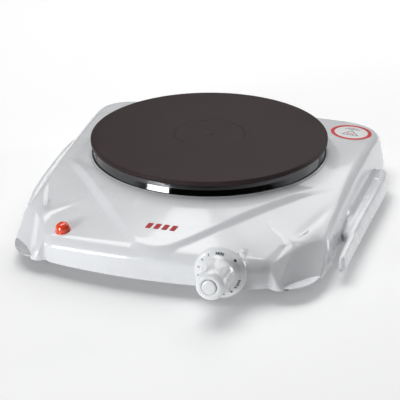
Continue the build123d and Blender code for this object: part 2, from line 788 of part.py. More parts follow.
def make_thermostat():
    """Thermostat behind the front wall, contacts open at rest."""
    front = WALL
    back = 4.0
    with BuildPart() as thermostat_bracket:
        add(box_on(-13.8, 13.8, -5.0, 2.0, front + 1.2, front))
        add(box_on(-13.8, -12.6, -5.0, 2.0, back + 1.2, front))
        add(box_on(12.6, 13.8, -5.0, 2.0, back + 1.2, front))
        add(box_on(-13.8, 13.8, -5.0, 2.0, back + 1.2, back))
        add(box_on(-11.6, -10.4, -5, 3, 29.2, back))
        add(box_on(-11.6, -4, -4.5, 4.5, 29.2, 28))
        add(box_on(-11.6, 4, -3, 3, 13.4, 12.4))
        add(disc_on(14, PIN_R + 0.06, 2), mode=Mode.SUBTRACT)
        with BuildSketch(control(14)):
            with Locations((-7, 0)):
                Circle(1.25)
        extrude(amount=2, mode=Mode.SUBTRACT)
        with BuildSketch(control(front - 1)):
            Circle(3.6)
        extrude(amount=-8, mode=Mode.SUBTRACT)
        with BuildSketch(control(front - 1)):
            with Locations((-CONTROL_SCREW_X, -PAD_DROP), (CONTROL_SCREW_X, -PAD_DROP)):
                Circle(1.5)
        extrude(amount=-8, mode=Mode.SUBTRACT)
        with BuildSketch(control(26)):
            with Locations((-7, 0)):
                Circle(1.25)
        extrude(amount=-6, mode=Mode.SUBTRACT)
    save(thermostat_bracket.part, "thermostat_bracket")

    with BuildPart() as thermostat_bush:
        add(disc_on(9, 4.4, 9 - back - 1.2, SPINDLE_R + 0.06))
        add(disc_on(back + 1.2, 3.55, 1.2, SPINDLE_R + 0.06))
    save(thermostat_bush.part, "thermostat_bush")

    layers = [(15.9, 13.4), (18.9, 16.3), (24.6, 19.3), (28.0, 25.4)]
    with BuildPart() as ceramic_spacers:
        for deep, shallow in layers:
            add(box_on(-10.3, -4, -4.5, 4.5, deep, shallow))
        with BuildSketch(control(30)):
            with Locations((-7, 0)):
                Circle(1.25)
        extrude(amount=20, mode=Mode.SUBTRACT)
    save(ceramic_spacers.part, "ceramic_spacers")

    strips = {
        "upper_contact_spring": (16.3, 15.9, 7.0),
        "lower_contact_spring": (19.3, 18.9, 8.0),
        "bimetal_strip": (25.4, 24.6, 9.0),
    }
    for name, (deep, shallow, reach) in strips.items():
        with BuildPart() as strip:
            add(box_on(-10.2, reach, -3.2, 3.2, deep, shallow))
            with BuildSketch(control(30)):
                with Locations((-7, 0)):
                    Circle(1.25)
            extrude(amount=20, mode=Mode.SUBTRACT)
        save(strip.part, name)

    with BuildPart() as contact_points:
        for deep, thick in ((17.4, 1.1), (18.9, 1.0)):
            with BuildSketch(control(deep)):
                with Locations((5, 0)):
                    Circle(1.5)
            extrude(amount=thick)
    save(contact_points.part, "contact_points")

    with BuildPart() as stack_rivet:
        for deep, thick, radius in ((30.0, 0.8, 2.4), (29.2, 16.8, 1.2), (12.4, 0.4, 2.0)):
            with BuildSketch(control(deep)):
                with Locations((-7, 0)):
                    Circle(radius)
            extrude(amount=thick)
    save(stack_rivet.part, "stack_rivet")

    with BuildPart() as adjusting_pin:
        add(disc_on(14.3, PIN_R, 3.2))
    save(adjusting_pin.part, "adjusting_pin")


# ---------------------------------------------------------------- lamp and mains entry
def make_lamp():
    """Red pilot lens, its push-on retaining clip and the neon lamp inside."""
    with BuildPart() as pilot_lens:
        with BuildSketch(lamp_plane(0.2)):
            Circle(6.2)
        extrude(amount=0.8)
        with BuildSketch(lamp_plane(1.0)):
            Circle(5.2)
        extrude(amount=4.4)
        dome = pilot_lens.edges().filter_by(GeomType.CIRCLE).sort_by(Axis.Z)[-1]
        fillet(dome, 2.8)
        with BuildSketch(lamp_plane(0.2)):
            Circle(4.0)
        extrude(amount=-9)
        with BuildSketch(lamp_plane(-9)):
            Circle(3.2)
        extrude(amount=11, mode=Mode.SUBTRACT)
    save(pilot_lens.part, "pilot_lens")

    with BuildPart() as lamp_clip:
        with BuildSketch(lamp_plane(-2.6)):
            Circle(7.0)
            Circle(4.1, mode=Mode.SUBTRACT)
        extrude(amount=0.6)
    save(lamp_clip.part, "lamp_clip")

    with BuildPart() as neon_lamp:
        with BuildSketch(lamp_plane(-12)):
            Circle(2.6)
        extrude(amount=13)
        tip = neon_lamp.edges().filter_by(GeomType.CIRCLE).sort_by(Axis.Z)[-1]
        fillet(tip, 2.0)
    save(neon_lamp.part, "neon_lamp")


def make_mains_entry():
    """Cord gland and its nut in the rear wall, terminal strip and earth tab behind it."""
    with BuildPart() as cord_gland:
        with BuildSketch(upright(GLAND_X, 118)):
            with Locations((0, GLAND_Z)):
                Circle(7.2)
        extrude(amount=6)
        with BuildSketch(upright(GLAND_X, 112.5)):
            with Locations((0, GLAND_Z)):
                Circle(10)
        extrude(amount=6)
        add(walls(0), mode=Mode.SUBTRACT)
        with BuildSketch(upright(GLAND_X, 113)):
            with Locations((0, GLAND_Z)):
                Circle(6.2)
        extrude(amount=13)
        with BuildSketch(upright(GLAND_X, 120)):
            with Locations((0, GLAND_Z)):
                Circle(CORD_BORE_R)
        extrude(amount=30, mode=Mode.SUBTRACT)
        mouth = cord_gland.edges().filter_by(GeomType.CIRCLE).sort_by(Axis.Y)[-1]
        chamfer(mouth, 0.5)
    save(cord_gland.part, "cord_gland")

    with BuildPart() as gland_nut:
        with BuildSketch(upright(GLAND_X, 105.4)):
            with Locations((0, GLAND_Z)):
                RegularPolygon(8.6, 6, major_radius=False)
                Circle(6.25, mode=Mode.SUBTRACT)
        extrude(amount=3.6)
    save(gland_nut.part, "gland_nut")

    floor = BASE_Z + BASE_THICK
    with BuildPart() as mains_terminal_strip:
        with BuildSketch(level(floor, GLAND_X, 82)):
            RectangleRounded(30, 16, 1.5)
        extrude(amount=12)
        for x in (-9, 0, 9):
            with BuildSketch(level(floor + 12, GLAND_X + x, 82)):
                Circle(2.0)
            extrude(amount=-5, mode=Mode.SUBTRACT)
            with BuildSketch(upright(GLAND_X + x, 91)):
                with Locations((0, floor + 4)):
                    Circle(1.8)
            extrude(amount=18, mode=Mode.SUBTRACT)
    save(mains_terminal_strip.part, "mains_terminal_strip")

    with BuildPart() as terminal_screws:
        for x in (-9, 0, 9):
            with BuildSketch(level(floor + 7.2, GLAND_X + x, 82)):
                Circle(1.9)
            extrude(amount=4.3)
    save(terminal_screws.part, "terminal_screws")

    with BuildPart() as earth_tab:
        with BuildSketch(level(floor, -88, 60)):
            Rectangle(14, 7)
        extrude(amount=0.8)
        with BuildSketch(level(floor + 0.8, -84, 60)):
            Circle(2.8)
        extrude(amount=1.8)
    save(earth_tab.part, "earth_tab")


def make_leads():
    """Insulated leads inside the housing, from terminal strip and control to the plate."""
    floor = BASE_Z + BASE_THICK
    routes = [
        [(-60, 72, floor + 4), (-60, 45, floor + 4), (0, 45, floor + 4), (0, 45, 27.6)],
        [(-51, 72, floor + 4), (-51, -96, floor + 4), (20, -96, floor + 4), (36, -112, 17)],
    ]
    with BuildPart() as internal_leads:
        for route in routes:
            points = [(x, HOB_Y + y, z) for x, y, z in route]
            with BuildLine() as path:
                FilletPolyline(*points, radius=4)
            with BuildSketch(Plane(origin=path.line @ 0, z_dir=path.line % 0)):
                Circle(1.2)
            sweep(path=path.line)
    save(internal_leads.part, "internal_leads")


OUTER = envelope(0)
CAVITY = envelope(WALL)
os.makedirs("parts", exist_ok=True)
make_top_shell()
make_handles()
make_handle_screws()
make_base()
make_feet()
make_trim()
make_casting()
make_elements()
make_plate_hardware()
make_spill_ring()
make_knob()
make_bezel()
make_thermostat()
make_lamp()
make_mains_entry()
make_leads()
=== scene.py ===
import json
import math

import bmesh
import bpy
import numpy as np
from mathutils import Matrix, Vector


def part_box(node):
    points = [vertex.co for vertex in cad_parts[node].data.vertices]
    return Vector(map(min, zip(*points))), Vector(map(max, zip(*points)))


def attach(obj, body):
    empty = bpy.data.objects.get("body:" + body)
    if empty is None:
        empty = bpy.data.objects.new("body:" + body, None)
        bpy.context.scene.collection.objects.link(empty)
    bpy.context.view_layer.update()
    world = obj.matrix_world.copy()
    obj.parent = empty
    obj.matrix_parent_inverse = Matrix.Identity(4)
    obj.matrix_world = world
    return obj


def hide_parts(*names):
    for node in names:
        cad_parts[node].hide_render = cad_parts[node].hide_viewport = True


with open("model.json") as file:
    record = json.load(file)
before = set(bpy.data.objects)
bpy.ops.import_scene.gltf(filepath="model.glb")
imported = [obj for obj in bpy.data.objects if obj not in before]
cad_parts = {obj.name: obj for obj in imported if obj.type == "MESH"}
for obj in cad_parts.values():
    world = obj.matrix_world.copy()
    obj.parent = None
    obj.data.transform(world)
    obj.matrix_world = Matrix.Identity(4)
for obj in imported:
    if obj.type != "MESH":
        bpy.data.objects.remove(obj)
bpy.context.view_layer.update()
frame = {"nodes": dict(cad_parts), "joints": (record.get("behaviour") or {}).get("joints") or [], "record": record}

# Single electric hot plate: white housing, wing handles, cast-iron plate, control and lamp.
# Lengths below are in millimetres. Hob coordinates start on the table under the plate's axis:
# +X to the right, +Y to the back, +Z up. place() turns them into the frame's metres.
MM = 0.001
PLATE_LOW, PLATE_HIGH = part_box("hotplate_casting")
HOB = ((PLATE_LOW[0] + PLATE_HIGH[0]) / 2, (PLATE_LOW[1] + PLATE_HIGH[1]) / 2)
PLATE_TOP = PLATE_HIGH[2] / MM
PLATE_R = (PLATE_HIGH[0] - PLATE_LOW[0]) / 2 / MM
FLOOR_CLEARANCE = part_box("top_shell")[0][2] / MM
KNOB_JOINT = next(j for j in frame["joints"] if j["name"] == "knob_turn")
KNOB_RANGE = KNOB_JOINT["range_deg"][1]

# ------------------------------------------------------------------ camera
VIEW_TURN = 15.79          # degrees the viewer stands to the right of straight ahead
VIEW_HEIGHT = 24.86        # degrees above the horizon
VIEW_ROLL = -0.314
VIEW_DISTANCE = 1.0798     # metres to the middle of the cooking surface
AIM_RIGHT = 0.00715        # the view's middle lies this far from the plate's middle, metres
AIM_DOWN = 0.0520
FOCAL = 124.4              # on a 36 mm sensor

# ------------------------------------------------------------------ housing form
DECK_Z = 42.0              # deck height at the foot of the collar
DECK_SLOPE = math.tan(math.radians(12.0))   # fall of the deck in front of the plate
REAR_SLOPE = math.tan(math.radians(3.5))    # and behind it
SLOPE_CHANGE = (-50, 60)   # the one turns into the other between these places along Y
COLLAR_FOOT_R = 100.5
COLLAR_R = 93.0            # where the collar starts to fall outwards
COLLAR_TOP = 45.9
COLLAR_SLOPE = 0.48
OPENING_R = 84.5
SEAT_Z = 42.6              # the ring's flange rests here
SHEET = 1.2                # thickness of the housing
LEAN = math.tan(math.radians(9.5))          # walls lean in as they rise
WALL_SQUARE = 0.986        # turns a distance in plan into one square to a leaning wall
DECK_SQUARE = 0.975        # the same from a height to one square to the deck
SIDE_SQUARE = 0.9987       # the same for the splay of the side walls
SIDE_X, SIDE_Y, SIDE_SPLAY = 116.0, -125, 0.05
ROLL_R = 7.0               # roll-over between deck and walls
FRONT_R = 380.7            # bow of the front wall in plan
FRONT_Y = -157.5
REAR_Y = 111.0
REAR_CORNER_R = 30.0

# The raised V in front of the plate, with the places where it fades in and out.
APRON_RISE = 2.5
APRON_FADE_IN = (28, 66)
APRON_FADE_OUT = (142, 160)
APRON_FADE = 0.45

# The groove between the deck and a front corner lobe, and the lobe behind it.
LINE_OF_GROOVE = (81.0, -150.0, 0.315)      # a point on it, and how fast it runs outwards
GROOVE_DEPTH = 1.3
GROOVE_WIDTH = 3.4
GROOVE_FADE_IN = (45, 85)
GROOVE_FADE_OUT = (100, 120)
GROOVE_EDGE_R = 7.0
LOBE_START = (92, 124)     # deck and lobe part between these distances in front of the plate
LOBE_RISE = 1.9
LOBE_SINK = 2.2            # depth of the hidden part of the lobe under the shoulder
SPLIT_GAP = 1.4
SPLIT_OVERLAP = 34.0       # how far the deck runs past the groove where both are one
LOBE_X, LOBE_Y, LOBE_R = 89.3, -115.2, 34.0

# A straight edge in plan: the parts of its inward normal along Y and |X|, and a point on it.
CREASE_EDGE = (0.808, 0.589, 97.4, -148.1)
CORNER_EDGE = (0.543, 0.840, 107.7, -140.6)

# The hollowed bevel across each front corner.
FACET_POINT = (104.9, -122.0, 21.2)
FACET_NORMAL = (0.600, -0.490, 0.632)
FACET_ACROSS = (-0.86, -0.10, 0.50)
FACET_HOLLOW = 2.2
FACET_HALF_WIDTH = 13.0

# The flat pad behind the control, square to the control's axis.
CONTROL_TILT = math.radians(7.0)
PAD_X, PAD_Y, PAD_Z = 51.0, -154.2, 23.6
PAD_HALF_WIDTH = 16.0
PAD_MIDDLE_Z = 22.1
PAD_HALF_HEIGHT = 5.5
PAD_BACK_Y = -120.0

# Sampling of the skin.
RAY_DEPTH = 130.0          # the skin is found along rays from this far under the table
HALVINGS = 32
TURNS = 960                # vertices round each ring
OUTER_RINGS = 120
RAY_COUNT = 420
DECK_START_R = 101.0       # rays take over from stated rings here


def place(points):
    """Hob coordinates in millimetres to the frame's metres."""
    out = np.array(points, float) * MM
    out[..., 0] += HOB[0]
    out[..., 1] += HOB[1]
    return out


# ------------------------------------------------------------------ mesh helpers
def build(name, points, faces, material, smooth=True, frame_matrix=None):
    """A mesh object from hob-space points, or from points in a given local frame."""
    mesh = bpy.data.meshes.new(name)
    if frame_matrix is None:
        coords = place(points)
    else:
        coords = [frame_matrix @ Vector(p) for p in np.array(points, float) * MM]
    mesh.from_pydata([tuple(p) for p in coords], [], faces)
    mesh.validate()
    piece = bpy.data.objects.new(name, mesh)
    bpy.context.scene.collection.objects.link(piece)
    work = bmesh.new()
    work.from_mesh(mesh)
    bmesh.ops.recalc_face_normals(work, faces=work.faces)
    work.to_mesh(mesh)
    work.free()
    if smooth:
        mesh.shade_smooth()
    mesh.materials.append(material)
    return piece


def grid_faces(rows, columns, wrap_rows=False):
    """Quads over a grid of vertices whose rows are closed loops."""
    faces = []
    for i in range(rows if wrap_rows else rows - 1):
        for j in range(columns):
            a = i * columns + j
            b = i * columns + (j + 1) % columns
            c = (i + 1) % rows * columns + (j + 1) % columns
            d = (i + 1) % rows * columns + j
            faces.append((a, b, c, d))
    return faces


def soften(points, steps=6):
    """Rounds the corners of an outline of (x, y, radius) points; radius 0 keeps a corner."""
    out = []
    for i, (x, y, radius) in enumerate(points):
        here = Vector((x, y))
        if radius == 0 or i in (0, len(points) - 1):
            out.append((x, y))
            continue
        before = Vector(points[i - 1][:2]) - here
        after = Vector(points[i + 1][:2]) - here
        half = before.angle(after) / 2
        back = min(radius / math.tan(half), before.length * 0.48, after.length * 0.48)
        start = here + before.normalized() * back
        end = here + after.normalized() * back
        for k in range(steps + 1):
            t = k / steps
            point = start * (1 - t) ** 2 + here * 2 * t * (1 - t) + end * t ** 2
            out.append((point.x, point.y))
    return out


def turned(name, profile, material, segments=192, frame_matrix=None, closed=False):
    """A body of revolution about local Z from (radius, height) points.

    An open profile starts and ends on the axis; a closed one makes a ring."""
    points = []
    faces = []
    rings = []
    for radius, height in profile:
        if radius < 1e-6:
            rings.append([len(points)] * segments)
            points.append((0, 0, height))
            continue
        rings.append([len(points) + k for k in range(segments)])
        for k in range(segments):
            turn = 2 * math.pi * k / segments
            points.append((radius * math.cos(turn), radius * math.sin(turn), height))
    count = len(rings)
    for i in range(count if closed else count - 1):
        low, high = rings[i], rings[(i + 1) % count]
        for k in range(segments):
            corners = (low[k], low[(k + 1) % segments], high[(k + 1) % segments], high[k])
            face = tuple(dict.fromkeys(corners))
            if len(face) > 2:
                faces.append(face)
    return build(name, points, faces, material, frame_matrix=frame_matrix)


# ------------------------------------------------------------------ materials
def new_material(name, color, roughness, metallic=0.0, coat=0.0):
    """A Principled material; returns it with its node tree and shader."""
    material = bpy.data.materials.new(name)
    material.use_nodes = True
    tree = material.node_tree
    shader = tree.nodes["Principled BSDF"]
    shader.inputs["Base Color"].default_value = (*color, 1)
    shader.inputs["Roughness"].default_value = roughness
    shader.inputs["Metallic"].default_value = metallic
    shader.inputs["Coat Weight"].default_value = coat
    return material, tree, shader


def coordinates(tree, centre=(0, 0, 0)):
    """Object coordinates measured from a point given in the frame's metres."""
    source = tree.nodes.new("ShaderNodeTexCoord")
    mapping = tree.nodes.new("ShaderNodeMapping")
    mapping.inputs["Location"].default_value = [-c for c in centre]
    tree.links.new(source.outputs["Object"], mapping.inputs["Vector"])
    return mapping.outputs["Vector"]


def noise(tree, vector, scale, detail=4.0, roughness=0.55):
    node = tree.nodes.new("ShaderNodeTexNoise")
    node.inputs["Scale"].default_value = scale
    node.inputs["Detail"].default_value = detail
    node.inputs["Roughness"].default_value = roughness
    tree.links.new(vector, node.inputs["Vector"])
    return node.outputs["Fac"]


def ramp(tree, value, low, high, out_low, out_high):
    """Remaps a value, clamped."""
    node = tree.nodes.new("ShaderNodeMapRange")
    sockets = ("From Min", "From Max", "To Min", "To Max")
    for socket, number in zip(sockets, (low, high, out_low, out_high)):
        node.inputs[socket].default_value = number
    tree.links.new(value, node.inputs["Value"])
    return node.outputs["Result"]


def math_node(tree, operation, a, b=0.0):
    node = tree.nodes.new("ShaderNodeMath")
    node.operation = operation
    for socket, value in zip(node.inputs, (a, b)):
        if isinstance(value, (int, float)):
            socket.default_value = value
        else:
            tree.links.new(value, socket)
    return node.outputs[0]


MIX_INPUTS = (6, 7)         # the colour sockets of a Mix node
MIX_RESULT = 2


def mix_colour(tree, factor, one, other):
    """One colour at factor 0, the other at factor 1; each a colour or a socket."""
    node = tree.nodes.new("ShaderNodeMix")
    node.data_type = "RGBA"
    tree.links.new(factor, node.inputs["Factor"])
    for index, value in zip(MIX_INPUTS, (one, other)):
        socket = node.inputs[index]
        if isinstance(value, tuple):
            socket.default_value = (*value, 1)
        else:
            tree.links.new(value, socket)
    return node.outputs[MIX_RESULT]


def bump(tree, shader, height, strength, distance):
    node = tree.nodes.new("ShaderNodeBump")
    node.inputs["Strength"].default_value = strength
    node.inputs["Distance"].default_value = distance
    tree.links.new(height, node.inputs["Height"])
    tree.links.new(node.outputs["Normal"], shader.inputs["Normal"])


def surface(name, color, roughness, grain, relief, tint, spread, coat=0.0):
    """A finish with mottled colour, uneven roughness and fine relief at a grain per metre."""
    material, tree, shader = new_material(name, color, roughness, coat=coat)
    vector = coordinates(tree)
    cloud = noise(tree, vector, 38.0)
    fine = noise(tree, vector, grain, 3.0)
    darker = tuple(c * (1 - tint) for c in color)
    lighter = tuple(min(c * (1 + tint), 1.0) for c in color)
    spots = ramp(tree, cloud, 0.35, 0.65, 0.0, 1.0)
    tree.links.new(mix_colour(tree, spots, darker, lighter), shader.inputs["Base Color"])
    smear = math_node(tree, "MULTIPLY_ADD", cloud, 0.6)
    smear.node.inputs[2].default_value = 0.0
    both = math_node(tree, "ADD", smear, math_node(tree, "MULTIPLY", fine, 0.4))
    low, high = max(roughness - spread, 0.02), roughness + spread
    tree.links.new(ramp(tree, both, 0.3, 0.7, low, high), shader.inputs["Roughness"])
    bump(tree, shader, fine, 0.35, relief)
    return material


def brushed(name, color, roughness, stretch=(40, 900, 900)):
    """Rolled or zinc-plated metal: short grain lines and cloudy patches."""
    material, tree, shader = new_material(name, color, roughness, metallic=1.0)
    vector = coordinates(tree)
    scaled = tree.nodes.new("ShaderNodeMapping")
    scaled.inputs["Scale"].default_value = stretch
    tree.links.new(vector, scaled.inputs["Vector"])
    lines = noise(tree, scaled.outputs["Vector"], 1.0, 5.0)
    patches = noise(tree, vector, 120.0, 5.0, 0.7)
    darker = tuple(c * 0.78 for c in color)
    tree.links.new(mix_colour(tree, ramp(tree, patches, 0.3, 0.7, 0, 1), darker, color),
                   shader.inputs["Base Color"])
    both = math_node(tree, "ADD", math_node(tree, "MULTIPLY", lines, 0.6),
                     math_node(tree, "MULTIPLY", patches, 0.4))
    tree.links.new(ramp(tree, both, 0.3, 0.7, roughness - 0.08, roughness + 0.14),
                   shader.inputs["Roughness"])
    bump(tree, shader, lines, 0.25, 0.00004)
    return material


def lacquer(name, color):
    """Glossy white lacquer: faint orange peel and hardly visible cloudiness."""
    material, tree, shader = new_material(name, color, 0.24, coat=0.6)
    shader.inputs["Coat Roughness"].default_value = 0.06
    vector = coordinates(tree)
    peel = noise(tree, vector, 420.0, 2.0)
    cloud = noise(tree, vector, 24.0, 5.0)
    specks = noise(tree, vector, 1500.0, 2.0)
    darker = tuple(c * 0.965 for c in color)
    tree.links.new(mix_colour(tree, ramp(tree, cloud, 0.35, 0.7, 0, 1), darker, color),
                   shader.inputs["Base Color"])
    uneven = math_node(tree, "ADD", math_node(tree, "MULTIPLY", cloud, 0.7),
                       math_node(tree, "MULTIPLY", specks, 0.3))
    tree.links.new(ramp(tree, uneven, 0.35, 0.65, 0.19, 0.31), shader.inputs["Roughness"])
    bump(tree, shader, peel, 0.12, 0.00006)
    return material


def turned_iron():
    """Seasoned cast iron, faced on a lathe: concentric tool marks and a brown cast."""
    material, tree, shader = new_material("plate_iron_turned", (0.040, 0.029, 0.027), 0.46)
    shader.inputs["Specular IOR Level"].default_value = 0.09
    vector = coordinates(tree, (HOB[0], HOB[1], 0))
    apart = tree.nodes.new("ShaderNodeSeparateXYZ")
    tree.links.new(vector, apart.inputs[0])
    squares = [math_node(tree, "MULTIPLY", apart.outputs[k], apart.outputs[k]) for k in (0, 1)]
    radius = math_node(tree, "SQRT", math_node(tree, "ADD", *squares))
    wobble = math_node(tree, "MULTIPLY", noise(tree, vector, 60.0, 2.0), 0.0004)
    along = math_node(tree, "ADD", radius, wobble)
    pitch = math_node(tree, "SINE", math_node(tree, "MULTIPLY", along, 2 * math.pi / 0.0011))
    coarse = math_node(tree, "SINE", math_node(tree, "MULTIPLY", along, 2 * math.pi / 0.0071))
    grain = noise(tree, vector, 1600.0, 6.0, 0.7)
    blotch = noise(tree, vector, 30.0, 6.0, 0.6)
    marks = math_node(tree, "ADD", math_node(tree, "MULTIPLY", pitch, 0.5),
                      math_node(tree, "MULTIPLY", coarse, 0.15))
    height = math_node(tree, "ADD", marks, math_node(tree, "MULTIPLY", grain, 1.1))
    dark, light, speck = (0.029, 0.0190, 0.0195), (0.043, 0.0290, 0.0295), (0.062, 0.046, 0.044)
    tone = mix_colour(tree, ramp(tree, blotch, 0.3, 0.7, 0, 1), dark, light)
    tone = mix_colour(tree, ramp(tree, grain, 0.35, 0.75, 0.0, 0.35), tone, speck)
    tree.links.new(tone, shader.inputs["Base Color"])
    rough = math_node(tree, "ADD", math_node(tree, "MULTIPLY", blotch, 0.22),
                      math_node(tree, "MULTIPLY", grain, 0.14))
    tree.links.new(math_node(tree, "ADD", rough, 0.29), shader.inputs["Roughness"])
    bump(tree, shader, height, 0.22, 0.00012)
    return material


def chrome():
    """Dark polished chrome with faint wiping marks."""
    material, tree, shader = new_material("ring_chrome_polished", (0.14, 0.14, 0.145), 0.05, 1.0)
    vector = coordinates(tree, (HOB[0], HOB[1], 0))
    smear = noise(tree, vector, 55.0, 6.0, 0.7)
    tree.links.new(ramp(tree, smear, 0.4, 0.7, 0.035, 0.11), shader.inputs["Roughness"])
    tree.links.new(mix_colour(tree, smear, (0.075, 0.076, 0.08), (0.10, 0.101, 0.105)),
                   shader.inputs["Base Color"])
    bump(tree, shader, noise(tree, vector, 260.0, 2.0), 0.06, 0.00005)
    return material


WHITE = lacquer("housing_white_lacquer", (0.82, 0.83, 0.85))
HANDLE = lacquer("handle_white_gloss", (0.82, 0.83, 0.855))
KNOB_WHITE = lacquer("knob_white_gloss", (0.84, 0.85, 0.86))
IRON = turned_iron()
CHROME = chrome()
ZINC = brushed("zinc_sheet", (0.62, 0.63, 0.65), 0.34)
SCREW = brushed("screw_zinc", (0.55, 0.56, 0.58), 0.3, (300, 300, 900))
BRASS = brushed("brass_turned", (0.72, 0.53, 0.24), 0.26, (200, 900, 900))
BRONZE = brushed("spring_strip", (0.66, 0.42, 0.24), 0.3, (60, 900, 900))
RUBBER = surface("rubber_black", (0.028, 0.028, 0.029), 0.62, 1500.0, 0.00012, 0.2, 0.1)
FIBRE = surface("gasket_fibre", (0.22, 0.21, 0.20), 0.85, 2200.0, 0.0003, 0.25, 0.08)
CERAMIC = surface("steatite", (0.80, 0.77, 0.69), 0.42, 900.0, 0.0001, 0.06, 0.1)
CEMENT = surface("filler_cement", (0.50, 0.47, 0.41), 0.9, 700.0, 0.0005, 0.2, 0.06)
GLAND = surface("moulded_black", (0.022, 0.022, 0.023), 0.42, 2600.0, 0.00008, 0.15, 0.1)
SLEEVE = surface("lead_sleeve", (0.70, 0.66, 0.56), 0.5, 1200.0, 0.0001, 0.1, 0.1)
RED_PRINT = surface("red_print", (0.62, 0.028, 0.035), 0.34, 1800.0, 0.00002, 0.08, 0.07)
BADGE_RED = surface("badge_red", (0.45, 0.004, 0.012), 0.6, 1800.0, 0.00002, 0.08, 0.06)
LABEL_WHITE = surface("label_white", (0.80, 0.80, 0.80), 0.38, 1400.0, 0.00003, 0.02, 0.06)
PRINT_GREY = surface("print_grey", (0.24, 0.25, 0.27), 0.45, 1800.0, 0.00002, 0.1, 0.06)
PRINT_DARK = surface("print_dark", (0.035, 0.04, 0.045), 0.4, 1800.0, 0.00002, 0.1, 0.06)
LENS = surface("lens_red", (0.92, 0.075, 0.02), 0.16, 700.0, 0.00004, 0.12, 0.05, coat=0.7)
LAMP_GLASS = surface("lamp_glass", (0.9, 0.6, 0.35), 0.12, 900.0, 0.00002, 0.05, 0.04)

FINISH_OF_SLOT = {
    "housing_white": WHITE, "handle_white": HANDLE, "knob_white": KNOB_WHITE,
    "plate_iron": IRON, "ring_chrome": CHROME, "zinc_steel": ZINC, "screw_steel": SCREW,
    "spring_bronze": BRONZE, "brass": BRASS, "foot_rubber": RUBBER, "gasket_grey": FIBRE,
    "ceramic": CERAMIC, "cement": CEMENT, "lens_red": LENS, "lamp_glass": LAMP_GLASS,
    "gland_black": GLAND, "lead_sleeve": SLEEVE, "label_red": RED_PRINT,
}


def finish_cad_nodes():
    """Every CAD node takes the procedural finish of its material slot."""
    for part in frame["record"]["subparts"]:
        node = frame["nodes"][part["node"]]
        node.data.materials.clear()
        node.data.materials.append(FINISH_OF_SLOT[part["material_slot"]])


# ------------------------------------------------------------------ housing as a distance field
def smoothstep(value, low, high):
    t = np.clip((value - low) / (high - low), 0.0, 1.0)
    return t * t * (3 - 2 * t)


def soft_min(a, b, k):
    h = np.clip(k - np.abs(a - b), 0.0, None) / k
    return np.minimum(a, b) - h * h * k / 4


def soft_max(a, b, k):
    return -soft_min(-a, -b, k)


def round_min(a, b, radius):
    """Meeting of two inward distances with a true round edge."""
    gap = np.hypot(np.maximum(radius - a, 0), np.maximum(radius - b, 0))
    both = (a < radius) & (b < radius)
    return np.where(both, radius - gap, np.minimum(a, b))


def apron(x, y):
    """How far a point lies inside the raised V in front of the plate."""
    edge = 17.0 + 0.76 * (y + 152)
    return (edge - np.sqrt(x * x + 256.0)) / 1.26


def groove_offset(x, y):
    """Distance outwards from the line that divides the deck from a corner lobe."""
    start_x, start_y, slope = LINE_OF_GROOVE
    return (np.abs(x) - start_x - slope * (y - start_y)) / math.hypot(1, slope)


def deck_top(x, y, lobe=0.0):
    """Height of the housing's upper skin before its edges roll over."""
    r = np.hypot(x, y)
    slope = DECK_SLOPE - (DECK_SLOPE - REAR_SLOPE) * smoothstep(y, *SLOPE_CHANGE)
    deck = DECK_Z - (r - COLLAR_FOOT_R) * slope
    fade = (1 - APRON_FADE * smoothstep(-y, *APRON_FADE_OUT)) * smoothstep(-y, *APRON_FADE_IN)
    deck = deck + APRON_RISE * smoothstep(apron(x, y), -3.4, 3.0) * fade + lobe
    valley = GROOVE_DEPTH * np.exp(-(groove_offset(x, y) / GROOVE_WIDTH) ** 2)
    deck = deck - valley * smoothstep(-y, *GROOVE_FADE_IN) * (1 - smoothstep(-y, *GROOVE_FADE_OUT))
    over = r - COLLAR_R
    collar = COLLAR_TOP - COLLAR_SLOPE * (np.sqrt(over * over + 0.8) + over) / 2
    return soft_max(deck, collar, 0.7)


def side_x(y):
    """Half width of the housing at its rim."""
    return SIDE_X + SIDE_SPLAY * (y - SIDE_Y)


def side_wall(x, y):
    """Inward distance in plan to the side walls."""
    return (side_x(y) - np.abs(x)) * SIDE_SQUARE


def panel_plan(x, y):
    """Inward distance in plan to the rim of the deck, its front panel and the rear wall."""
    panel = FRONT_R - np.hypot(x, y - FRONT_Y - FRONT_R)
    rear = soft_min(REAR_Y - y, side_wall(x, y), REAR_CORNER_R)
    return soft_min(panel, rear, 1.0)


def edge_distance(ax, y, edge):
    """Inward distance in plan to a straight edge of a corner lobe."""
    along_y, along_x, edge_x, edge_y = edge
    return along_y * (y - edge_y) - along_x * (ax - edge_x)


def lobe_plan(x, y):
    """Inward distance in plan to the rim of the two front corner lobes."""
    ax = np.abs(x)
    lobe = LOBE_R - np.hypot(ax - LOBE_X, y - LOBE_Y)
    side = soft_min(edge_distance(ax, y, CORNER_EDGE), side_wall(x, y), 9.0)
    front = soft_min(lobe, soft_min(edge_distance(ax, y, CREASE_EDGE), side, 9.0), 1.6)
    return soft_min(front, REAR_Y - y, REAR_CORNER_R)


def corner_facet(x, y, z):
    """Inward distance to the hollowed bevel that cuts each front corner."""
    dx, dy, dz = np.abs(x) - FACET_POINT[0], y - FACET_POINT[1], z - FACET_POINT[2]
    across = FACET_ACROSS[0] * dx + FACET_ACROSS[1] * dy + FACET_ACROSS[2] * dz
    hollow = FACET_HOLLOW * np.clip(1 - (across / FACET_HALF_WIDTH) ** 2, 0, None)
    outward = dx * FACET_NORMAL[0] + dy * FACET_NORMAL[1] + dz * FACET_NORMAL[2]
    return -outward - hollow


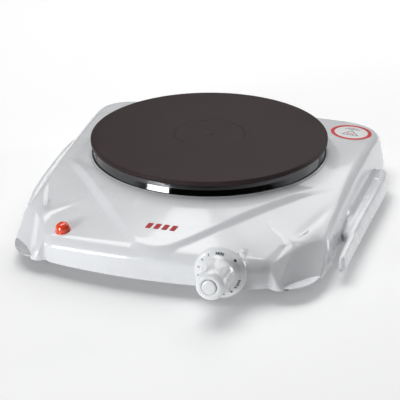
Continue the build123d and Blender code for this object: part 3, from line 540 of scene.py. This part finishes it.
def control_pad(x, y, z):
    """Inward distance to the flat pad behind the control."""
    face = math.cos(CONTROL_TILT) * (y - PAD_Y) - math.sin(CONTROL_TILT) * (z - PAD_Z)
    across = PAD_HALF_WIDTH - np.abs(x - PAD_X)
    upright = PAD_HALF_HEIGHT - np.abs(z - PAD_MIDDLE_Z)
    depth = PAD_BACK_Y - y
    return soft_min(soft_min(across, upright, 2.0), np.minimum(face, depth), 0.8)


def housing_field(x, y, z):
    """Positive inside the housing's outer form, zero on its skin.

    The deck and the corner lobes are two bodies that part at the groove and overlap behind it."""
    lean = LEAN * (z - FLOOR_CLEARANCE)
    out = groove_offset(x, y)
    along = smoothstep(-y, *LOBE_START)
    split = SPLIT_GAP + SPLIT_OVERLAP * (1 - along)
    deck_wall = (panel_plan(x, y) - lean) * WALL_SQUARE
    deck = round_min(deck_wall, (deck_top(x, y) - z) * DECK_SQUARE, ROLL_R)
    deck = round_min(deck, split - out, GROOVE_EDGE_R)
    lobe_wall = (lobe_plan(x, y) - lean) * WALL_SQUARE
    emerge = LOBE_RISE * along - LOBE_SINK * (1 - along)
    lobe_top = (deck_top(x, y, emerge) - z) * DECK_SQUARE
    lobe = round_min(lobe_wall, lobe_top, ROLL_R + 1.0)
    lobe = round_min(lobe, split + out, GROOVE_EDGE_R)
    body = soft_max(deck, lobe, 3.0)
    body = soft_max(body, control_pad(x, y, z), 1.2)
    bevel_round = 1.6 + 4.0 * smoothstep(z, 26, 35)
    return round_min(body, corner_facet(x, y, z), bevel_round)


def last_inside(field, near, far, shape):
    """Where a field along a ray turns from positive to negative, found by halving."""
    low = np.full(shape, near)
    high = np.full(shape, far)
    for _ in range(HALVINGS):
        middle = (low + high) / 2
        inside = field(middle) > 0
        low = np.where(inside, middle, low)
        high = np.where(inside, high, middle)
    return low


def skin_height(x, y):
    """Height of the housing's skin under a point seen from above."""
    return last_inside(lambda z: housing_field(x, y, z), 12.0, 50.0, np.shape(x))


def inner_rings(cosine, sine):
    """The seat under the ring and the collar, from the opening outwards."""
    seat = [(OPENING_R, SEAT_Z), (88.0, SEAT_Z), (91.6, SEAT_Z), (92.0, SEAT_Z + 0.3), (92.1, 44.6)]
    rings = []
    for radius, height in seat:
        level = np.full(len(cosine), height)
        rings.append(np.stack((radius * cosine, radius * sine, level), 1))
    for radius in (92.3, 92.7, 93.3, 94.1, 95.0, 96.0, 96.8, 97.5, 98.2, 98.9, 99.6, 100.3,
                   DECK_START_R):
        x, y = radius * cosine, radius * sine
        edge = 0.9 * max(0.0, 1 - (radius - 92.1) / 1.2) ** 2
        rings.append(np.stack((x, y, deck_top(x, y) - edge), 1))
    return rings, len(seat)


def ray_curves(cosine, sine, start_z):
    """The skin from the collar's foot down to the rim: one finely sampled curve per direction."""
    rim_z = FLOOR_CLEARANCE + 0.35
    rim_r = last_inside(lambda r: housing_field(r * cosine, r * sine, rim_z), 70.0, 240.0,
                        len(cosine))
    start = np.arctan2(start_z + RAY_DEPTH, DECK_START_R)
    end = np.arctan2(rim_z + RAY_DEPTH, rim_r)
    fine = np.linspace(0, 1, RAY_COUNT)[:, None]
    angle = start[None, :] * (1 - fine) + end[None, :] * fine
    flat, rise = np.cos(angle), np.sin(angle)

    def along_ray(r):
        return housing_field(r * flat * cosine, r * flat * sine, r * rise - RAY_DEPTH)

    reach = last_inside(along_ray, 90.0, 340.0, angle.shape)
    return np.stack((reach * flat * cosine, reach * flat * sine, reach * rise - RAY_DEPTH), 2)


def even_rings(curve):
    """Rings along the curves, closer together where the skin bends."""
    turns = curve.shape[1]
    step = np.linalg.norm(np.diff(curve, axis=0), axis=2)
    heading = np.diff(curve, axis=0) / np.maximum(step, 1e-9)[..., None]
    bend = np.zeros_like(step)
    bend[1:] = np.linalg.norm(np.diff(heading, axis=0), axis=2)
    window = np.hanning(41)[:, None]
    window = window / window.sum()
    bend = np.stack([np.convolve(bend[:, k], window[:, 0], mode="same") for k in range(turns)], 1)
    spread = np.stack([np.roll(bend, k, axis=1) for k in range(-12, 13)]).mean(0)
    weight = step + 26.0 * spread
    total = np.vstack((np.zeros(turns), np.cumsum(weight, axis=0)))
    total = total / total[-1]
    goal = np.linspace(0, 1, OUTER_RINGS + 1)[1:]
    outer = np.empty((OUTER_RINGS, turns, 3))
    for k in range(turns):
        for axis in range(3):
            outer[:, k, axis] = np.interp(goal, total[:, k], curve[:, k, axis])
    return outer


def outward_normals(skin):
    """Unit normals of a grid of rings, pointing away from the middle of the housing."""
    along = np.gradient(skin, axis=0)
    around = (np.roll(skin, -1, axis=1) - np.roll(skin, 1, axis=1)) / 2
    normal = np.cross(around, along)
    normal = normal / np.maximum(np.linalg.norm(normal, axis=2), 1e-9)[..., None]
    facing = np.sign((normal * (skin - np.array((0, 0, 20.0)))).sum(2))
    return normal * facing[..., None]


def rim_folds(rim, normal):
    """The rounded lower edge of the sheet, from the outer skin to the inner one."""
    inward = normal.copy()
    inward[:, 2] = 0
    inward = -inward / np.linalg.norm(inward, axis=1)[:, None]
    folds = []
    for shift, height in ((0.12, 10.1), (0.4, 10.0), (0.8, 10.0), (1.08, 10.1)):
        fold = rim + inward * shift
        fold[:, 2] = height - 10.0 + FLOOR_CLEARANCE
        folds.append(fold)
    return np.array(folds)


def make_housing():
    """The pressed housing: an outer skin, the fold of its rim and an inner skin."""
    turn = 2 * np.pi * np.arange(TURNS) / TURNS
    cosine, sine = np.cos(turn), np.sin(turn)
    inner, seat_count = inner_rings(cosine, sine)
    outer = even_rings(ray_curves(cosine, sine, inner[-1][:, 2]))
    skin = np.concatenate((np.array(inner), outer))
    normal = outward_normals(skin)
    inside_skin = skin - normal * SHEET
    inside_skin[:seat_count, :, 2] = SEAT_Z - SHEET
    inside_skin[:seat_count, :, :2] = skin[:seat_count, :, :2]
    everything = np.concatenate((skin, rim_folds(skin[-1], normal[-1]), inside_skin[::-1]))
    faces = grid_faces(len(everything), TURNS, True)
    shell = build("housing_shell", everything.reshape(-1, 3), faces, WHITE)
    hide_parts("top_shell")
    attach(shell, "housing")


# ------------------------------------------------------------------ handles
def arc_length(points):
    """Distance along a chain of points, from its first one."""
    steps = np.linalg.norm(np.diff(points, axis=0), axis=1)
    return np.concatenate(([0], np.cumsum(steps)))


def spline(points, count):
    """A smooth curve through points, evenly spaced along its length."""
    points = np.array(points, float)
    padded = np.vstack((2 * points[0] - points[1], points, 2 * points[-1] - points[-2]))
    out = []
    for i in range(1, len(padded) - 2):
        a, b, c, d = padded[i - 1:i + 3]
        for t in np.linspace(0, 1, 16, endpoint=False):
            out.append(0.5 * (2 * b + (c - a) * t + (2 * a - 5 * b + 4 * c - d) * t * t
                              + (3 * b - a - 3 * c + d) * t ** 3))
    out.append(points[-1])
    out = np.array(out)
    length = arc_length(out)
    goal = np.linspace(0, length[-1], count)
    return np.stack([np.interp(goal, length, out[:, k]) for k in range(out.shape[1])], 1)


# Outer edge of the handles in plan: stations along Y and the half width reached there.
PLAIN_EDGE = ((-98, -88, -75, -57, -30, 0, 22, 40, 62),
              (118.4, 122.2, 126.2, 129.8, 133.0, 135.2, 136.5, 137.1, 136.6))
FREE_EDGE = ((-105, -92, -77, -57, -30, 0, 22, 40, 62),
             (129.0, 129.8, 130.6, 131.6, 133.2, 135.2, 136.5, 137.1, 136.6))
NOSE_Y, NOSE_LENGTH = 46.0, 15.5       # rounded rear end
TIP_Y, TIP_LENGTH = -103.0, 5.6        # rounded front end of the free bar
BAR_X = 126.0                          # middle of the free bar at its tip


def handle_section(y, plain):
    """Closed outline of a right-hand handle at one station, as (x, z) points.

    The plain handle dies into the front corner; the other one ends in a free bar."""
    wall_x = side_x(y)
    base = FLOOR_CLEARANCE
    free = 0.0 if plain else float(smoothstep(-y, 60.0, 70.0))
    dive = 0.0 if plain else float(smoothstep(-y, 26.0, 66.0))
    rear = float(smoothstep(y, 12.0, 61.0))
    nose = float(np.clip((y - NOSE_Y) / NOSE_LENGTH, 0, 1))
    tip = 0.0 if plain else float(np.clip((TIP_Y - y) / TIP_LENGTH, 0, 1))
    nose_in = math.sqrt(max(1 - nose ** 2.4, 0.0))
    tip_in = math.sqrt(max(1 - tip ** 2, 0.0))
    outer = np.interp(y, *(PLAIN_EDGE if plain else FREE_EDGE))
    sink = float(smoothstep(-y, 48.0, 96.0)) if plain else 0.0
    top = 21.2 - 1.2 * rear - 0.8 * dive - 2.5 * sink
    high = 33.5 - 12.5 * rear - 9.5 * sink if plain else 29.2 - 8.2 * rear - 13.5 * dive
    wall_high = wall_x - LEAN * (high - base) - 0.8
    left = wall_high * (1 - free) + 123.4 * free
    left_z = high * (1 - free) + (top - 2.4) * free
    left_low = (wall_x - 1.0) * (1 - free) + 122.9 * free
    if nose > 0:
        outer = 124.5 + (outer - 124.5) * nose_in
        top = 12.5 + (top - 12.5) * (0.45 + 0.55 * nose_in)
        left_z = min(left_z, top + 1.5 * nose_in)
    if tip > 0:
        outer = BAR_X + (outer - BAR_X) * tip_in
        left = BAR_X + (left - BAR_X) * tip_in
        left_low = BAR_X + (left_low - BAR_X) * tip_in
        top = 13.5 + (top - 13.5) * (0.3 + 0.7 * tip_in)
        left_z = 13.5 + (left_z - 13.5) * (0.3 + 0.7 * tip_in)
    width = outer - left
    crest = outer - min(5.4, width * 0.42)
    trough = 0.9 * (1 - free)
    shape = [
        (left, left_z),
        (left + (crest - left) * 0.30, left_z + (top - trough - left_z) * (0.66 + 0.1 * free)),
        (left + (crest - left) * 0.62, top - trough),
        (crest - width * 0.06, top - 0.06),
        (crest + (outer - crest) * 0.26, top - 0.30),
        (crest + (outer - crest) * 0.52, top - 1.9),
        (crest + (outer - crest) * 0.76, top - 5.0),
        (outer - 0.1, base + 1.0),
        (outer - 0.35, base + 0.15),
        (outer - 0.8, base),
    ]
    upper = spline(shape, 46)
    hollow = (1 - free) * (1 - nose) ** 0.5 * float(np.clip((outer - wall_x - 4.0) / 4.0, 0, 1))
    ceiling = base + max(top - 3.2 - base, 0.5) * hollow
    inner_ceiling = base + max(min(left_z, top + 3) - 3.0 - base, 0.5) * hollow
    thin = min(1.0, (outer - left_low) / 14.0)
    thick = 2.2 * thin
    lower = [
        (outer - thick, base),
        (outer - thick - 0.2 * thin, base + (ceiling - base) * 0.25),
        (outer - thick - 0.9 * thin, ceiling - 0.8 * hollow),
        (outer - thick - 1.8 * thin, ceiling),
        (left_low + thick + 1.4 * thin, inner_ceiling),
        (left_low + thick + 0.5 * thin, inner_ceiling - 0.8 * hollow),
        (left_low + thick + 0.2 * thin, base + (inner_ceiling - base) * 0.25),
        (left_low + thick, base),
        (left_low + 0.2 * thin, base),
        (left_low, base + 0.4),
        (left_low + (left - left_low) * 0.5, base + (left_z - base) * 0.5),
    ]
    return np.vstack((upper, np.array(lower)))


def make_handles():
    """Wing handles lofted through stations from the rounded rear nose forwards."""
    rear = NOSE_Y + NOSE_LENGTH * np.sin(np.linspace(math.pi / 2, 0.0, 22))
    middle = np.linspace(45.0, -56.0, 60)
    bar = np.concatenate((np.linspace(-57.0, -71.0, 26), np.linspace(-72.5, -102.5, 22)))
    tip = TIP_Y - TIP_LENGTH * np.sin(np.linspace(0.0, math.pi / 2, 14))
    ends = {
        "right": (1, np.concatenate((rear, middle, bar, tip)), False),
        "left": (-1, np.concatenate((rear, middle, np.linspace(-57.0, -97.5, 40))), True),
    }
    for name, (side, stations, plain) in ends.items():
        # The end stations stop just short of the ends, where the section would vanish.
        sections = [handle_section(float(min(max(y, -108.58), 61.46)), plain) for y in stations]
        size = len(sections[0])
        points = [(side * x, y, z) for y, outline in zip(stations, sections) for x, z in outline]
        faces = grid_faces(len(stations), size)
        for row in (0, len(stations) - 1):
            middle_point = np.mean([points[row * size + k] for k in range(size)], axis=0)
            points.append(tuple(middle_point))
            hub = len(points) - 1
            faces += [(row * size + k, row * size + (k + 1) % size, hub) for k in range(size)]
        wing = build("handle_wing_" + name, points, faces, HANDLE)
        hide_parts(name + "_handle")
        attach(wing, "housing")


# ------------------------------------------------------------------ plate and ring
def hob_frame(height=0.0):
    return Matrix.Translation((HOB[0], HOB[1], height * MM))


def make_plate():
    """Cast-iron plate: rounded rim, shallow turned step, centre dimple."""
    top = PLATE_TOP
    profile = soften([
        (0.0, 42.0, 0), (88.6, 42.0, 0.5), (88.6, 54.5, 0.3), (91.2, 54.5, 0.6),
        (PLATE_R, 55.6, 0.6), (PLATE_R, top - 0.9, 0), (PLATE_R - 0.25, top - 0.45, 0.5),
        (PLATE_R - 0.9, top - 0.12, 0.6), (88.5, top, 0), (31.2, top, 0.2),
        (30.9, top - 0.10, 0.1), (30.5, top - 0.02, 0.1), (28.4, top - 0.02, 0.1),
        (28.0, top - 0.22, 0.15), (27.3, top - 0.25, 0.2), (26.6, top - 0.06, 0.3),
        (4.2, top - 0.05, 0.3), (3.2, top - 0.25, 0.3), (1.2, top - 0.55, 0.4), (0.0, top - 0.6, 0),
    ])
    plate = turned("hotplate_turned", profile, IRON, 256, hob_frame())
    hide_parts("hotplate_casting")
    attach(plate, "housing")


def make_ring():
    """Spill ring: mirror wall flaring outwards over a flat flange."""
    inside = 88.75
    profile = soften([
        (inside, 44.3, 0), (inside, 54.2, 0.2), (89.05, 54.4, 0.2), (89.3, 53.9, 0.5),
        (89.9, 51.0, 3.0), (91.1, 46.2, 1.0), (91.5, 45.4, 0.3), (91.8, 45.2, 0.2),
        (91.9, 44.7, 0.2),
        (90.8, 44.4, 0.3), (83.2, 44.3, 0.1), (83.2, 44.25, 0),
    ], 8)
    ring = turned("spill_ring_polished", profile, CHROME, 256, hob_frame(), closed=True)
    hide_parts("spill_ring")
    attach(ring, "housing")


# ------------------------------------------------------------------ control
def knob_frame():
    """Local frame of the control: origin on the pad, local Z outwards, local Y upwards."""
    out = -Vector(KNOB_JOINT["axis"]).normalized()
    right = Vector((1, 0, 0))
    up = out.cross(right)
    basis = Matrix((right, up, out)).transposed().to_4x4()
    return Matrix.Translation(KNOB_JOINT["pos_m"]) @ basis


KNOB_BACK = 2.4            # gap between the pad and the skirt
SKIRT_R = 18.5
KNOB_LENGTH = 31.0
PRINT_R = 14.5             # radius at which the print's width is true
FLARE = [(17.5, 2.75), (15.4, 3.7), (13.5, 5.4), (12.1, 8.0), (11.3, 11.5), (10.8, 16.0)]


def flare_point(distance):
    """Radius and height on the flare's generating line, at a distance in from its rim."""
    curve = spline(FLARE, 120)
    length = arc_length(curve)
    radius = np.interp(distance, length, curve[:, 0])
    height = np.interp(distance, length, curve[:, 1])
    return radius, height + KNOB_BACK


def wrap_on_flare(points, clock, base, lift):
    """Flat (across, inwards) points laid on the flare at a clock angle, base in from its rim."""
    out = []
    for across, inward in points:
        radius, height = flare_point(base + inward)
        turn = math.radians(90 - clock) - across / PRINT_R
        lifted = radius + lift * 0.75
        out.append((lifted * math.cos(turn), lifted * math.sin(turn), height + lift * 0.65))
    return out


def printed(name, outlines, clock, base, material):
    """Thin print on the knob, from polygons in the flare's flat pattern."""
    points = []
    faces = []
    for outline in outlines:
        first = len(points)
        count = len(outline)
        points += wrap_on_flare(outline, clock, base, 0.07)
        points += wrap_on_flare(outline, clock, base, -0.25)
        faces.append(tuple(range(first, first + count)))
        faces.append(tuple(range(first + 2 * count - 1, first + count - 1, -1)))
        for k in range(count):
            n = (k + 1) % count
            faces.append((first + k, first + count + k, first + count + n, first + n))
    piece = build(name, points, faces, material, smooth=False, frame_matrix=knob_frame())
    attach(piece, "control_knob")


def stroke(a, b, thick):
    """A straight pen stroke as a four-sided outline."""
    a, b = Vector(a), Vector(b)
    side = Vector((-(b - a).y, (b - a).x)).normalized() * thick / 2
    return [tuple(a + side), tuple(b + side), tuple(b - side), tuple(a - side)]


LETTERS = {
    "M": [((0, 0), (0, 2)), ((0, 2), (0.8, 0.6)), ((0.8, 0.6), (1.6, 2)), ((1.6, 2), (1.6, 0))],
    "I": [((0.2, 0), (0.2, 2))],
    "N": [((0, 0), (0, 2)), ((0, 2), (1.3, 0)), ((1.3, 0), (1.3, 2))],
    "A": [((0, 0), (0.75, 2)), ((0.75, 2), (1.5, 0)), ((0.35, 0.75), (1.15, 0.75))],
    "X": [((0, 0), (1.4, 2)), ((0, 2), (1.4, 0))],
}
ADVANCE = {"M": 2.2, "I": 1.0, "N": 1.9, "A": 2.1, "X": 1.9}


def word(text, size):
    """Outlines of a short word, centred, reading with its top towards the knob's rim."""
    width = sum(ADVANCE[c] for c in text) - 0.5
    outlines = []
    x = -width / 2
    for letter in text:
        for a, b in LETTERS[letter]:
            shifted = [((x + px) * size, (2 - py) * size) for px, py in (a, b)]
            outlines.append(stroke(*shifted, 0.42 * size))
        x += ADVANCE[letter]
    return outlines


def make_knob():
    """Skirted knob with a concave flare, round nose and inset button."""
    back = KNOB_BACK
    flare = [(r, z + back, 0) for r, z in spline(FLARE, 26)]
    end = back + KNOB_LENGTH
    profile = soften([
        (0.0, back + 4.0, 0), (5.2, back + 4.0, 0.3), (5.2, back + 1.2, 0.3),
        (15.0, back + 1.2, 0.4), (15.3, back, 0.3), (17.7, back, 0.6),
        (SKIRT_R, back + 0.7, 0.6), (SKIRT_R, back + 1.8, 0.7),
    ] + flare + [
        (10.45, end - 7.0, 3.0), (10.1, end - 3.0, 1.5), (9.3, end - 1.2, 1.2),
        (7.6, end - 0.15, 1.2), (5.6, end + 0.05, 0.4), (5.35, end - 1.2, 0.2), (0.0, end - 1.2, 0),
    ])
    knob = turned("control_knob_body", profile, KNOB_WHITE, 160, knob_frame())
    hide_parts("knob")
    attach(knob, "control_knob")

    cap = soften([
        (0.0, end - 1.15, 0), (5.0, end - 1.15, 0), (5.1, end + 0.35, 0.5), (4.7, end + 0.9, 0.5),
        (3.8, end + 1.12, 0.5), (2.6, end + 1.16, 0.8), (0.0, end + 1.1, 0),
    ])
    button = turned("control_knob_button", cap, KNOB_WHITE, 96, knob_frame())
    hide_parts("knob_cap")
    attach(button, "control_knob")

    pointer_clock = 45.0
    highest = pointer_clock - KNOB_RANGE
    printed("dial_min", word("MIN", 1.15), 0.0, 2.2, PRINT_DARK)
    printed("dial_max", word("MAX", 1.15), highest, 2.2, PRINT_DARK)
    dot_r = 0.95
    round_dot = np.linspace(0, 2 * math.pi, 24)[:-1]
    off = [(dot_r * math.sin(t), 1.0 - dot_r * math.cos(t)) for t in round_dot]
    printed("dial_off", [off], pointer_clock, 1.5, PRINT_DARK)
    ticks = []
    count = 9
    for k in range(count):
        clock = -32.0 + (highest + 32.0 + 28.0) * k / (count - 1)
        size = 0.6 + 0.9 * k / (count - 1)
        shift = -math.radians(clock) * PRINT_R
        near, far = shift - size / 2, shift + size / 2
        bar = [(near, 0.6), (far, 0.6), (far, 2.8), (near, 2.8)]
        ticks.append([(-a, b) for a, b in bar])
    printed("dial_ticks", ticks, 0.0, 1.2, PRINT_GREY)


# ------------------------------------------------------------------ lamp, label and badge
def hob_middle(low, high):
    """Middle of a box of the frame, in hob coordinates."""
    return ((low[0] + high[0]) / 2 - HOB[0]) / MM, ((low[1] + high[1]) / 2 - HOB[1]) / MM


def skin_frame(x, y):
    """Local frame on the housing's skin: local Z along its normal."""
    step = 0.5
    z = float(skin_height(np.array(x), np.array(y)))
    slope_x = float(skin_height(np.array(x + step), np.array(y))) - z
    slope_y = float(skin_height(np.array(x), np.array(y + step))) - z
    normal = Vector((-slope_x / step, -slope_y / step, 1)).normalized()
    right = Vector((1, 0, 0))
    right = (right - normal * right.dot(normal)).normalized()
    up = normal.cross(right)
    basis = Matrix((right, up, normal)).transposed().to_4x4()
    origin = place(np.array((x, y, z)))
    return Matrix.Translation(origin) @ basis


def make_lamp():
    """Pilot lens: a low dome over a stepped collar, on a stem through the deck."""
    x, y = hob_middle(*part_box("pilot_lens"))
    profile = soften([
        (0.0, -9.0, 0), (3.6, -9.0, 0.4), (4.4, -1.0, 0.2), (5.7, -0.6, 0), (5.75, 0.5, 0.3),
        (5.4, 0.8, 0.2), (5.3, 1.6, 0.6), (4.95, 3.2, 1.4), (4.0, 4.7, 1.6), (2.4, 5.7, 2.0),
        (0.0, 6.1, 0),
    ])
    lens = turned("pilot_lens_dome", profile, LENS, 96, skin_frame(x, y - 0.4))
    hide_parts("pilot_lens")
    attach(lens, "housing")


def decal(name, rings, centre, material, node, lift):
    """A thin print draped over the skin, from pairs of inner and outer outlines."""
    points = []
    faces = []
    for inner, outer in rings:
        first = len(points)
        count = len(outer)
        rows = [inner + (outer - inner) * t for t in np.linspace(0, 1, 7)]
        layers = []
        for height, ordered in ((lift, rows), (-0.3, rows[::-1])):
            for row in ordered:
                x, y = row[:, 0] + centre[0], row[:, 1] + centre[1]
                layers.append(np.stack((x, y, skin_height(x, y) + height), 1))
        points += [tuple(p) for layer in layers for p in layer]
        faces += [tuple(first + v for v in f) for f in grid_faces(len(layers), count, True)]
    piece = build(name, points, faces, material, smooth=False)
    if node:
        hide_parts(node)
    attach(piece, "housing")


def circle(radius, count=96):
    turn = 2 * np.pi * np.arange(count) / count
    return np.stack((radius * np.cos(turn), radius * np.sin(turn)), 1)


def outline_points(corners, per_side=12):
    """A closed polygon divided evenly along its sides."""
    corners = [np.array(c, float) for c in corners]
    out = []
    for i, a in enumerate(corners):
        b = corners[(i + 1) % len(corners)]
        out += [a + (b - a) * k / per_side for k in range(per_side)]
    return np.array(out)


def bar_outline(x, y, width, height, slant=0.0):
    corners = [(x - width / 2, y - height / 2), (x + width / 2, y - height / 2),
               (x + width / 2 + slant, y + height / 2), (x - width / 2 + slant, y + height / 2)]
    outer = outline_points(corners)
    inner = outer * 0.02 + outer.mean(0) * 0.98
    return inner, outer


def make_label():
    """Round label: red border, a triangle with three strokes, two plain bars, no lettering."""
    centre = hob_middle(*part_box("caution_sticker"))
    decal("label_ground", [(circle(0.3), circle(16.9))], centre, LABEL_WHITE,
          None, 0.10)
    decal("label_border", [(circle(13.6), circle(16.7))], centre, RED_PRINT,
          "caution_sticker", 0.18)
    big = outline_points([(-7.0, -6.5), (7.0, -6.5), (0.0, 4.6)])
    middle = np.array((0.0, -2.9))
    small = (big - middle) * 0.80 + middle
    decal("label_triangle", [(small, big)], centre, PRINT_GREY, None, 0.18)
    heat = [bar_outline(x - 0.3, -3.6, 0.7, 3.2, 0.6) for x in (-2.0, 0.0, 2.0)]
    decal("label_heat_marks", heat, centre, RED_PRINT, None, 0.18)
    bars = [bar_outline(0, 9.3, 8.5, 0.9), bar_outline(0, 7.0, 13.0, 0.9)]
    decal("label_bars", bars, centre, PRINT_GREY, None, 0.18)


def make_badge():
    """Plain red slanted bars where a name would be."""
    centre = hob_middle(*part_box("front_badge"))
    bars = [bar_outline(x, 0.0, 3.6, 5.4, 1.3) for x in (-9.2, -3.2, 2.8, 8.8)]
    decal("badge_bars", bars, centre, BADGE_RED, "front_badge", 0.35)


# ------------------------------------------------------------------ stage
def make_stage():
    """Plain pale floor, soft lights round a dim room, and the camera."""
    mesh = bpy.data.meshes.new("floor")
    reach = 14.0
    corners = [(-reach, -reach, 0), (reach, -reach, 0), (reach, reach, 0), (-reach, reach, 0)]
    mesh.from_pydata(corners, [], [(0, 1, 2, 3)])
    floor = bpy.data.objects.new("floor", mesh)
    bpy.context.scene.collection.objects.link(floor)
    material, tree, shader = new_material("floor_pale", (0.95, 0.95, 0.952), 0.6)
    shader.inputs["Specular IOR Level"].default_value = 0.2
    shader.inputs["Emission Color"].default_value = (1, 1, 1, 1)
    shader.inputs["Emission Strength"].default_value = 0.14
    mesh.materials.append(material)

    world = bpy.data.worlds.new("room")
    bpy.context.scene.world = world
    world.use_nodes = True
    tree = world.node_tree
    background = tree.nodes["Background"]
    source = tree.nodes.new("ShaderNodeTexCoord")
    apart = tree.nodes.new("ShaderNodeSeparateXYZ")
    tree.links.new(source.outputs["Generated"], apart.inputs[0])
    rising = ramp(tree, apart.outputs[2], 0.32, 0.80, 0.0, 1.0)
    tree.links.new(mix_colour(tree, rising, (0.06, 0.062, 0.068), (0.95, 0.97, 1.0)),
                   background.inputs["Color"])
    background.inputs["Strength"].default_value = 0.17

    def softbox(name, location, target, size, power, colour):
        data = bpy.data.lights.new(name, "AREA")
        data.shape = "RECTANGLE"
        data.size, data.size_y = size
        data.energy = power
        data.color = colour
        light = bpy.data.objects.new(name, data)
        light.location = location
        aim = Vector(target) - Vector(location)
        light.rotation_euler = aim.to_track_quat("-Z", "Y").to_euler()
        bpy.context.scene.collection.objects.link(light)

    softbox("overhead", (-0.50, 0.40, 1.75), (0, 0, 0), (1.5, 1.1), 19.0, (1.0, 0.995, 0.985))
    softbox("behind", (0.25, 1.60, 1.35), (0, 0, 0), (2.2, 1.0), 14.0, (1.0, 0.998, 0.99))
    softbox("front_left", (-0.88, -1.36, 0.22), (0, 0, 0.05), (0.62, 0.40), 14.0,
            (0.97, 0.985, 1.0))
    softbox("right_side", (1.30, 0.95, 0.36), (0, 0, 0.05), (0.42, 0.60), 6.0, (0.96, 0.98, 1.0))

    up_turn = math.radians(VIEW_HEIGHT)
    turn = math.radians(VIEW_TURN)
    roll = math.radians(VIEW_ROLL)
    back = Vector((math.sin(turn) * math.cos(up_turn), -math.cos(turn) * math.cos(up_turn),
                   math.sin(up_turn)))
    right = Vector((math.cos(turn), math.sin(turn), 0))
    up = back.cross(right)
    right, up = (math.cos(roll) * right + math.sin(roll) * up,
                 math.cos(roll) * up - math.sin(roll) * right)
    middle = Vector((HOB[0], HOB[1], PLATE_TOP * MM))
    spot = middle + back * VIEW_DISTANCE - right * AIM_RIGHT - up * AIM_DOWN
    data = bpy.data.cameras.new("camera")
    data.lens = FOCAL
    data.sensor_width = 36.0
    camera = bpy.data.objects.new("camera", data)
    basis = Matrix((right, up, back)).transposed().to_4x4()
    camera.matrix_world = Matrix.Translation(spot) @ basis
    bpy.context.scene.collection.objects.link(camera)
    bpy.context.scene.camera = camera
    bpy.context.scene.view_settings.view_transform = "Standard"


finish_cad_nodes()
make_housing()
make_handles()
make_plate()
make_ring()
make_knob()
make_lamp()
make_label()
make_badge()
make_stage()
